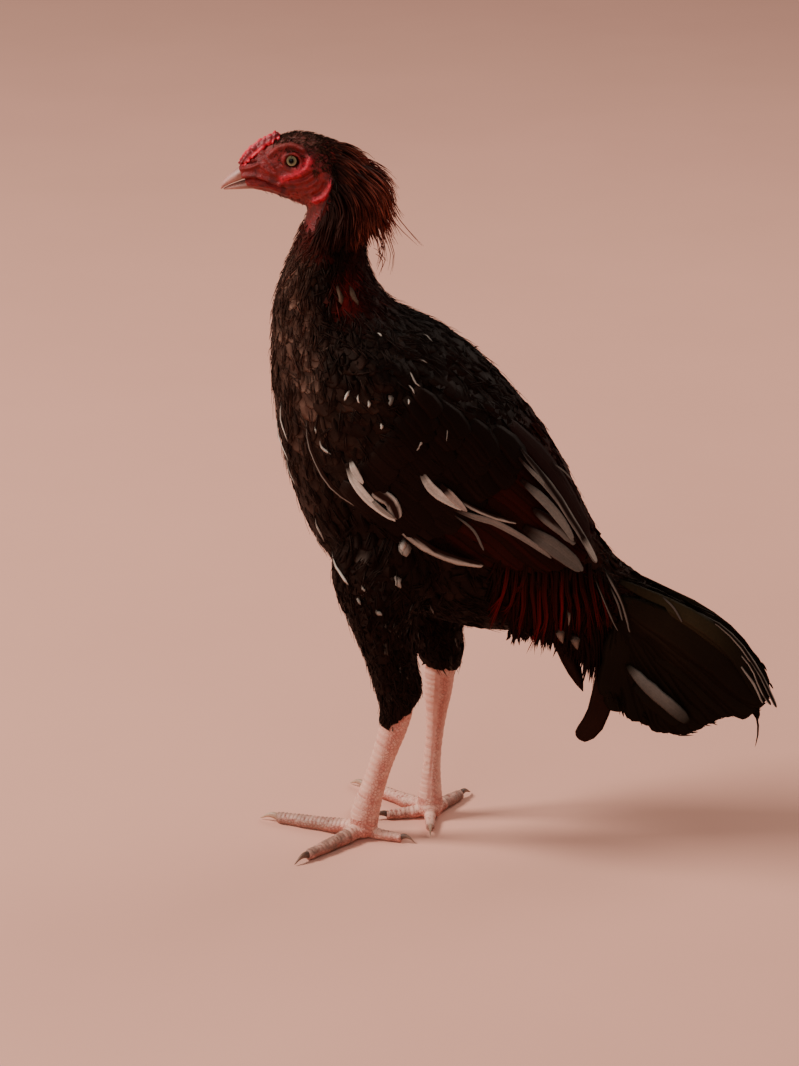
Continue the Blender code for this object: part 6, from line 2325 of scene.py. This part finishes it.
@dataclass(frozen=True)
class ToeLine:
    """A toe's start, direction, length to the claw, root radius and claw length."""

    start: Array
    way: Array
    length: float
    radius: float
    claw: float

    @property
    def across(self) -> Array:
        """The level direction over the toe's width."""
        return np.array((-self.way[1], self.way[0], 0.0))

    def measure(self, flat: Array) -> tuple[Array, Array]:
        """How far points of the floor, from the foot's middle, lie along and beside the toe."""
        return flat @ self.way[:2], np.abs(flat @ self.across[:2])


@dataclass
class Legs:
    """Bare shanks, feet and toes as one skin for each side, and the claws."""

    # rows of a Limb for each shank
    shanks: dict[Side, tuple[tuple[float, ...], ...]] = field(default_factory=lambda: {
        Side.LEFT: ((-0.0925, -0.031, 0.174, 0.0105, 0.0100),
                    (-0.0940, -0.030, 0.144, 0.0135, 0.0120),
                    (-0.1010, -0.029, 0.112, 0.0128, 0.0104),
                    (-0.111, -0.027, 0.080, 0.0108, 0.0088),
                    (-0.120, -0.025, 0.050, 0.0112, 0.0090),
                    (-0.1265, -0.0235, 0.027, 0.0132, 0.0108),
                    (-0.1285, -0.0230, 0.012, 0.0130, 0.0116)),
        Side.RIGHT: ((-0.0560, 0.032, 0.186, 0.0110, 0.0100),
                     (-0.0575, 0.031, 0.154, 0.0140, 0.0120),
                     (-0.0595, 0.030, 0.126, 0.0132, 0.0108),
                     (-0.0620, 0.028, 0.092, 0.0088, 0.0080),
                     (-0.0650, 0.026, 0.056, 0.0080, 0.0076),
                     (-0.0665, 0.0235, 0.029, 0.0104, 0.0094),
                     (-0.0668, 0.0225, 0.012, 0.0122, 0.0112)),
    })
    feet: dict[Side, tuple[float, float]] = field(default_factory=lambda: {
        Side.LEFT: (-0.130, -0.023), Side.RIGHT: (-0.067, 0.022)})
    toes: dict[Side, dict[str, tuple[float, float, float, float]]] = field(default_factory=lambda: {
        # claw tip x and y, radius at the root, claw length
        Side.LEFT: {"inner": (-0.1375, 0.0450, 0.0058, 0.016),
                    "middle": (-0.2260, 0.0150, 0.0068, 0.018),
                    "outer": (-0.1910, -0.0870, 0.0066, 0.017),
                    "hind": (-0.0810, -0.0400, 0.0052, 0.013)},
        Side.RIGHT: {"inner": (-0.1235, 0.0125, 0.0058, 0.016),
                     "middle": (-0.1430, 0.0950, 0.0066, 0.018),
                     "outer": (-0.0280, 0.0740, 0.0062, 0.016),
                     "hind": (-0.0670, -0.0270, 0.0052, 0.014)},
    })
    voxel: float = 0.0009
    # the ball of the foot, and a scute's length on the shank and on the toes, and its relief
    ball_size: tuple[float, float, float] = (0.0128, 0.0128, 0.0100)
    ball_height: float = 0.0090
    shank_from: float = 0.021
    shank_scute: float = 0.0062
    toe_scute: float = 0.0040
    scute_relief: float = 0.0009
    # how wide a toe's scutes reach, by its radius, and from where on it has them and is worn
    toe_reach: float = 1.5
    claw_share: float = 0.0034 / 0.0058
    scutes_from: float = 0.006
    worn_from: float = 0.020
    # how worn the toes are
    wear: dict[Side, dict[str, float]] = field(default_factory=lambda: {
        Side.LEFT: {"outer": 2.0, "middle": 1.7, "inner": 1.5, "hind": 1.4},
        Side.RIGHT: {"outer": 2.0, "middle": 1.2, "inner": 1.5, "hind": 1.4}})

    def toe_line(self, side: Side, toe: str) -> "ToeLine":
        """Where a toe lies."""
        foot = np.array((*self.feet[side], 0.0))
        x, y, radius, claw = self.toes[side][toe]
        reach = np.array((x, y, 0.0)) - foot
        length = float(np.linalg.norm(reach))
        return ToeLine(foot, reach / length, length - claw, radius, claw)

    def build(self, side: Side, finish: bpy.types.Material) -> bpy.types.Object:
        """One leg from under the feathers to the toes' ends.

        Args:
            side: The bird's side.
            finish: The scaled skin.

        Returns:
            The leg as one object.
        """
        name = "leg_" + side.word
        form = Limb(np.array(self.shanks[side]))
        shank = tube(name, form.at(*ring_grid(np.arange(0.0, 6.01, 0.25), 20)))
        toes = [self.toe(self.toe_line(side, toe)) for toe in self.toes[side]]
        leg = melted([shank, self.ball(side)] + toes, name, self.voxel, 6)
        self.scale(leg, side, form)
        finish_piece(leg, finish)
        return leg

    def ball(self, side: Side) -> bpy.types.Object:
        """The ball of the foot with its pad."""
        ball = sphere(20, 12, 1.0)
        points = points_of(ball) * self.ball_size + (*self.feet[side], self.ball_height)
        points[:, 2] = np.maximum(points[:, 2], 0.0)
        move_points(ball, points)
        return ball

    def toe(self, line: ToeLine) -> bpy.types.Object:
        """One toe with its three pads, flat on the floor and blunt at its end."""
        steps, start, pads = 26, 0.002, 3
        rings = []
        for i in range(steps + 1):
            t = i / steps
            slim = line.radius * (1.14 - 0.36 * t)
            bulge = 0.72 if i == steps else 1.0 + 0.09 * math.cos(2 * math.pi * pads * t)
            height = slim * (0.88 + 0.60 * max(0.0, 0.35 - t))
            centre = line.start + line.way * (start + (line.length - start) * t) + (0, 0, height)
            high = slim * (0.94 + 0.06 * bulge)
            rings.append(oval(centre, line.across, slim * bulge, high, 14))
        return tube("toe", np.array(rings))

    def scale(self, leg: bpy.types.Object, side: Side, form: Limb) -> None:
        """Raises the scutes on the shank's front and the toes' backs, and stores where they are and
        where the finish paints highlight and shade.
        """
        points, normals = points_of(leg), normals_of(leg)
        fine = np.linspace(0, 6, 240)
        line = form.heart(fine)
        arc = np.concatenate(((0,), np.cumsum(np.linalg.norm(np.diff(line, axis=0), axis=1))))
        gap = np.linalg.norm(points[:, None, :] - line[None, ::4, :], axis=2)
        nearest = gap.argmin(axis=1) * 4
        shank = points[:, 2] > self.shank_from
        forward = np.clip(-normals[:, 0] * 1.1 + 0.15, 0, 1)
        rear = np.clip(normals[:, 0] * 1.3 - 0.3, 0, 1)
        scute = 1 - arc[nearest] / self.shank_scute % 1.0
        front = np.where(shank, np.maximum(forward, rear * 0.6), 0.0)
        flat = points[:, :2] - np.array(self.feet[side])
        best = np.full(len(points), 9.0)
        lines = {toe: self.toe_line(side, toe) for toe in self.toes[side]}
        for line in lines.values():
            t, off = line.measure(flat)
            mine = ((~shank) & (t > self.scutes_from) & (off < best)
                    & (off < line.radius * self.toe_reach))
            best = np.where(mine, off, best)
            scute = np.where(mine, 1 - t / self.toe_scute % 1.0, scute)
            front = np.where(mine, np.clip(normals[:, 2] * 1.4 - 0.15, 0, 1), front)
        move = front * (scute - 0.5) * self.scute_relief
        moved = points + normals * move[:, None]
        moved[:, 2] = np.maximum(moved[:, 2], 0.0)
        move_points(leg, moved)
        low = (np.clip((0.030 - points[:, 2]) / 0.02, 0, 1)
               * np.clip(np.linalg.norm(flat, axis=1) / 0.03, 0.3, 1))
        for toe, worn_and_shade in self.wear[side].items():
            t, off = lines[toe].measure(flat)
            mine = (t > self.worn_from) & (off < lines[toe].radius * self.toe_reach) & ~shank
            low = np.where(mine, worn_and_shade, low)
        # painted shade: a band on the left shank's rear just below the thigh feathers takes the
        # worn colour and more dirt flecks
        if side is Side.LEFT:
            low = np.maximum(low, 1.6 * rear * np.exp(-((points[:, 2] - 0.112) / 0.014) ** 2))
        # painted highlight: a pale stripe down the right shank's side that faces the camera, added
        # to the front mask
        stripe = np.zeros(len(points))
        if side is Side.RIGHT:
            stripe = shank * (normals[:, 1] < 0) * np.exp(-((normals[:, 0] + 0.10) / 0.24) ** 2)
        front = np.clip(np.maximum(front * 1.5, stripe), 0, 1)
        store_pattern(leg, scute * (1 - stripe), front, low)

    def claw(self, side: Side, toe: str, finish: bpy.types.Material) -> bpy.types.Object:
        """One claw, arched and tapering to its point.

        Args:
            side: The bird's side.
            toe: The toe's name.
            finish: The horn.

        Returns:
            The claw as one object.
        """
        line = self.toe_line(side, toe)
        steps, sunk = 10, 0.0012
        height, arch, drop = 0.0048, 0.0020, 0.0036
        rings = []
        for i in range(steps + 1):
            t = i / steps
            rise = height + arch * math.sin(math.pi * min(t * 1.1, 1.0)) - drop * t ** 2
            thick = self.claw_share * line.radius * (1 - 0.90 * t ** 1.2)
            reach = line.length - sunk + (line.claw + sunk) * t
            centre = line.start + line.way * reach + (0, 0, rise)
            rings.append(oval(centre, line.across, 0.78 * thick, thick, 12))
        piece = tube("claw_" + toe + "_" + side.word + "_horn", np.array(rings))
        out = (points_of(piece) - line.start) @ line.way - line.length
        store_pattern(piece, np.clip(out / line.claw, 0, 1))
        subdivided(piece, 1)
        finish_piece(piece, finish)
        return piece


@dataclass
class Beak:
    """The horny beak, upper and lower."""

    upper: tuple[tuple[float, ...], ...] = (
        (-0.2290, 0.6325, -0.2225, 0.6208, 0.0066, 0.0),
        (-0.2335, 0.6305, -0.2275, 0.6198, 0.0074, 0.0),
        (-0.2385, 0.6272, -0.2325, 0.6184, 0.0069, 0.0),
        (-0.2435, 0.6230, -0.2380, 0.6163, 0.0056, 0.0),
        (-0.2480, 0.6184, -0.2434, 0.6142, 0.0040, 0.0),
        (-0.2511, 0.6142, -0.2482, 0.6116, 0.0026, 0.0),
        (-0.2522, 0.6106, -0.2508, 0.6094, 0.0012, 0.0))
    lower: tuple[tuple[float, ...], ...] = (
        (-0.2230, 0.6196, -0.2205, 0.6098, 0.0064, 0.0),
        (-0.2285, 0.6184, -0.2260, 0.6100, 0.0068, 0.0),
        (-0.2340, 0.6168, -0.2320, 0.6098, 0.0060, 0.0),
        (-0.2395, 0.6148, -0.2380, 0.6095, 0.0047, 0.0),
        (-0.2448, 0.6127, -0.2436, 0.6093, 0.0032, 0.0),
        (-0.2494, 0.6102, -0.2488, 0.6090, 0.0013, 0.0))
    nostril: Line = ((-0.2350, 0.6222), (-0.2315, 0.6240), (-0.2285, 0.6248))
    nostril_depth: float = 0.0014

    def build(self, name: str, rows: tuple[tuple[float, ...], ...], keel: float,
              finish: bpy.types.Material) -> bpy.types.Object:
        """One half of the beak.

        Args:
            name: The piece's name.
            rows: Its sections, as the trunk's.
            keel: How sharp its outer ridge is.
            finish: The horn.

        Returns:
            The half as one object.
        """
        form = Trunk(np.array(rows))
        place, turn = ring_grid(np.linspace(0, len(rows) - 1, 4 * (len(rows) - 1) + 1), 24)
        points = form.at(place, turn)
        points[..., 1] *= 1 - keel * np.clip(np.cos(turn), 0, 1) ** 2
        piece = tube(name, points)
        made = points_of(piece)
        share = np.clip((-0.2240 - made[:, 0]) / 0.028, 0, 1)
        normals = normals_of(piece)
        if keel > 0:
            slit = ridge(made[:, (0, 2)], self.nostril, 0.0011)
            sunk = slit * self.nostril_depth * (np.abs(normals[:, 1]) > 0.5)
            move_points(piece, made - normals * sunk[:, None])
        store_pattern(piece, share)
        subdivided(piece, 1)
        finish_piece(piece, finish)
        return piece


@dataclass
class Comb:
    """The low pea comb: three rows of knobs from the beak's base over the forehead."""

    line: Line = (
        (-0.2345, 0.6320), (-0.2280, 0.6400), (-0.2205, 0.6475), (-0.2120, 0.6535),
        (-0.2020, 0.6588))
    rows: tuple[tuple[float, int, float, float], ...] = (
        # side offset, knobs, radius, lift
        (0.0, 13, 0.0020, 0.0014), (-0.0026, 10, 0.0018, -0.0002), (0.0026, 10, 0.0018, -0.0002),
        (0.0, 14, 0.0028, -0.0018), (-0.0034, 12, 0.0021, -0.0026), (0.0034, 12, 0.0021, -0.0026),
        (-0.0052, 10, 0.0014, -0.0042), (0.0052, 10, 0.0014, -0.0042))
    voxel: float = 0.00042

    def build(self, finish: bpy.types.Material) -> bpy.types.Object:
        """Models the knobs and melts them together.

        Args:
            finish: The comb's flesh.

        Returns:
            The comb as one object.
        """
        draw = np.random.default_rng(3)
        pieces = []
        for offset, number, radius, lift in self.rows:
            for i in range(number):
                t = (i + 0.5 + draw.uniform(-0.45, 0.45)) / number
                x, z = along_line(self.line, np.array([t]))[0]
                grown = 0.62 + 0.5 * math.sin(math.pi * min(t * 0.9, 1.0))
                size = radius * grown * draw.uniform(0.7, 1.25)
                place = (x - lift * 0.6, offset + draw.normal(0, 0.0004), z + lift * 0.8)
                scale = (draw.uniform(1.2, 2.1), 0.85, draw.uniform(0.8, 1.1))
                turn = (0, draw.normal(-0.80, 0.28), draw.normal(0, 0.15))
                pieces.append(sphere(14, 9, size, location=place, scale=scale, rotation=turn))
        comb = melted(pieces, "comb_flesh", self.voxel, 7)
        points = points_of(comb)
        base = along_line(self.line, np.linspace(0, 1, 60))
        gap = np.linalg.norm(points[:, None, (0, 2)] - base[None, :, :], axis=2).min(axis=1)
        # how far each point lies from the base line; the finish turns it into painted shade low and
        # painted highlight high
        store_pattern(comb, np.clip((gap - 0.0010) / 0.0040 + 0.15, 0, 1))
        finish_piece(comb, finish)
        return comb


@dataclass
class Eyes:
    """Both eyes, set as deep as the lids leave them."""

    radius: float = 0.0072
    bulge: float = 0.0005
    cornea_from: float = 0.72

    def centre(self, side: Side) -> Array:
        """The middle of one eye."""
        return EYE_CENTRE * np.array((1, -side.value, 1))

    def gaze(self, side: Side) -> Array:
        """The direction in which one eye looks."""
        return unit(np.array((-0.16, side.value, 0.10)))

    def finish(self, side: Side) -> bpy.types.Material:
        """The finish of one eye, ringed round its line of sight."""
        return EyeFinish("eye_finish_" + side.word, tuple(self.centre(side)),
                         tuple(self.gaze(side))).build()

    def build(self, side: Side) -> bpy.types.Object:
        """One eyeball with a slight bulge of the cornea."""
        centre = self.centre(side)
        eye = sphere(48, 32, self.radius, location=tuple(centre), rotation=(math.pi / 2, 0, 0))
        eye.name = "eyeball_" + side.word
        points = points_of(eye)
        out = points - centre
        facing = np.clip(out @ self.gaze(side) / self.radius, 0, 1)
        raised = np.clip((facing - self.cornea_from) / (1 - self.cornea_from), 0, 1) ** 1.5
        move_points(eye, points + unit(out) * (self.bulge * raised)[:, None])
        finish_piece(eye, self.finish(side))
        return eye


@dataclass(frozen=True)
class Lamp:
    """A soft square light: its place, size, power in watts and colour."""

    name: str
    place: tuple[float, float, float]
    size: float
    power: float
    colour: Colour


@dataclass
class Studio:
    """Floor, lights and camera."""

    aim: tuple[float, float, float] = (-0.0955, 0.0, 0.290)
    distance: float = 3.2
    elevation: float = 20.0
    focal: float = 119.6
    sensor: float = 36.0
    lamp_aim: tuple[float, float, float] = (-0.05, 0.0, 0.32)
    lamps: tuple[Lamp, ...] = (
        Lamp("key_light", (-4.0, -0.10, 4.0), 1.4, 350.0, (1.0, 0.93, 0.85)),
        Lamp("fill_light", (-1.5, -2.8, 1.7), 1.8, 30.0, (1.0, 0.95, 0.90)),
        Lamp("rim_light", (1.9, 1.6, 2.2), 1.6, 36.0, (1.0, 0.88, 0.78)))
    floor_size: float = 14.0
    floor_height: float = -0.0004
    room_colour: Colour = (1.0, 0.95, 0.90)
    room_light: float = 0.25

    def build(self) -> None:
        """Sets up the floor, the lights and the camera at the photo's angle."""
        select_none()
        bpy.ops.mesh.primitive_plane_add(size=self.floor_size, location=(0, 0, self.floor_height))
        floor = bpy.context.object
        floor.name = "floor"
        bpy.ops.object.transform_apply(location=True)
        floor.data.materials.append(FloorFinish().build())
        world = bpy.data.worlds.new("soft_room")
        world.use_nodes = True
        sky = world.node_tree.nodes["Background"].inputs
        sky["Color"].default_value = (*self.room_colour, 1.0)
        sky["Strength"].default_value = self.room_light
        bpy.context.scene.world = world
        for lamp in self.lamps:
            self.light(lamp)
        tilt = math.radians(self.elevation)
        data = bpy.data.cameras.new("photo_camera")
        data.lens = self.focal
        data.sensor_width = self.sensor
        data.clip_end = 50.0
        camera = bpy.data.objects.new("photo_camera", data)
        aim = np.array(self.aim) + SHIFT
        camera.location = aim + self.distance * np.array((0.0, -math.cos(tilt), math.sin(tilt)))
        camera.rotation_euler = (math.pi / 2 - tilt, 0.0, 0.0)
        bpy.context.scene.collection.objects.link(camera)
        bpy.context.scene.camera = camera

    def light(self, lamp: Lamp) -> None:
        """Adds a soft square light that looks at the bird."""
        data = bpy.data.lights.new(lamp.name, "AREA")
        data.size = lamp.size
        data.energy = lamp.power
        data.color = lamp.colour
        made = bpy.data.objects.new(lamp.name, data)
        made.location = lamp.place
        away = np.array(lamp.place) - (np.array(self.lamp_aim) + SHIFT)
        made.rotation_euler = (math.acos(away[2] / np.linalg.norm(away)), 0.0,
                               math.atan2(away[1], away[0]) + math.pi / 2)
        bpy.context.scene.collection.objects.link(made)


def flank_field(trunk: Trunk) -> SideField:
    """How far trunk and tail root reach sideways."""
    flank = SideField()
    flank.cast(trunk, 14, 70)
    flank.cast(tail_root(), 5, 30)
    flank.smooth(12)
    return flank


def settle(piece: bpy.types.Object, slot: str, *nodes: str) -> None:
    """Lets a piece ride on the bird, logs its slot and hides the nodes it stands for."""
    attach(piece, "root")
    if nodes:
        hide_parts(*nodes)
    log.info("%s: %d faces, slot %s", piece.name, len(piece.data.polygons), slot)


def main() -> None:
    """Builds the bird in order and reports each piece."""
    logging.basicConfig(level=logging.INFO, format="%(message)s")
    Studio().build()
    trunk = Trunk()
    palette = Plumage()
    flank = flank_field(trunk)
    shell = Shell(trunk, flank).build()

    skin = Skin(trunk).build(SkinFinish().build())
    settle(skin, "face_red", "head", "neck", "torso", "rump", "thigh_left", "thigh_right")
    comb = Comb().build(CombFinish().build())
    settle(comb, "comb_red", "comb")
    horn = HornFinish("beak_horn_finish").build()
    beak = Beak()
    settle(beak.build("beak_upper_horn", beak.upper, 0.30, horn), "beak_horn", "beak_upper")
    settle(beak.build("beak_lower_horn", beak.lower, 0.0, horn), "beak_horn", "beak_lower")
    for side in Side:
        settle(Eyes().build(side), "eye_pale", "eye_" + side.word)

    legs = Legs()
    leg_finish = LegFinish().build()
    pale = HornFinish("claw_pale", (0.520, 0.330, 0.230), (0.260, 0.120, 0.080), 0.35).build()
    brown = HornFinish("claw_brown", (0.260, 0.140, 0.095), (0.060, 0.030, 0.022), 0.75).build()
    pale_claws = {(Side.LEFT, "middle"), (Side.RIGHT, "middle"), (Side.RIGHT, "hind")}
    for side in Side:
        nodes = ["shank_" + side.word, "foot_" + side.word]
        nodes += ["toe_" + toe + "_" + side.word for toe in legs.toes[side]]
        settle(legs.build(side, leg_finish), "leg_pink", *nodes)
        for toe in legs.toes[side]:
            claw = legs.claw(side, toe, pale if (side, toe) in pale_claws else brown)
            settle(claw, "claw_horn", "claw_" + toe + "_" + side.word)

    soft = FeatherFinish("plumage").build()
    glossy = FeatherFinish("plumage_glossy", 0.46, 80.0, 0.09).build()
    hackle = FeatherFinish("plumage_hackle", 0.46, 50.0, 0.14, (1.0, 0.42, 0.32)).build()
    body = BodyCoat(trunk, palette, shell)
    for coat in body.build().values():
        settle(coat.make(soft), "dark_feather")
    settle(body.crown().make(soft), "dark_feather")
    settle(Ruff(trunk, palette).build().make(hackle), "hackle_red")
    settle(Saddle(palette, flank).build().make(hackle), "saddle_red")
    for side in Side:
        wing = Wings(palette, flank=flank).build(side)
        settle(wing.make(glossy), "dark_feather", "wing_" + side.word)
    settle(Tail(palette).build().make(glossy), "tail_black", "tail")


if __name__ == "__main__":
    main()
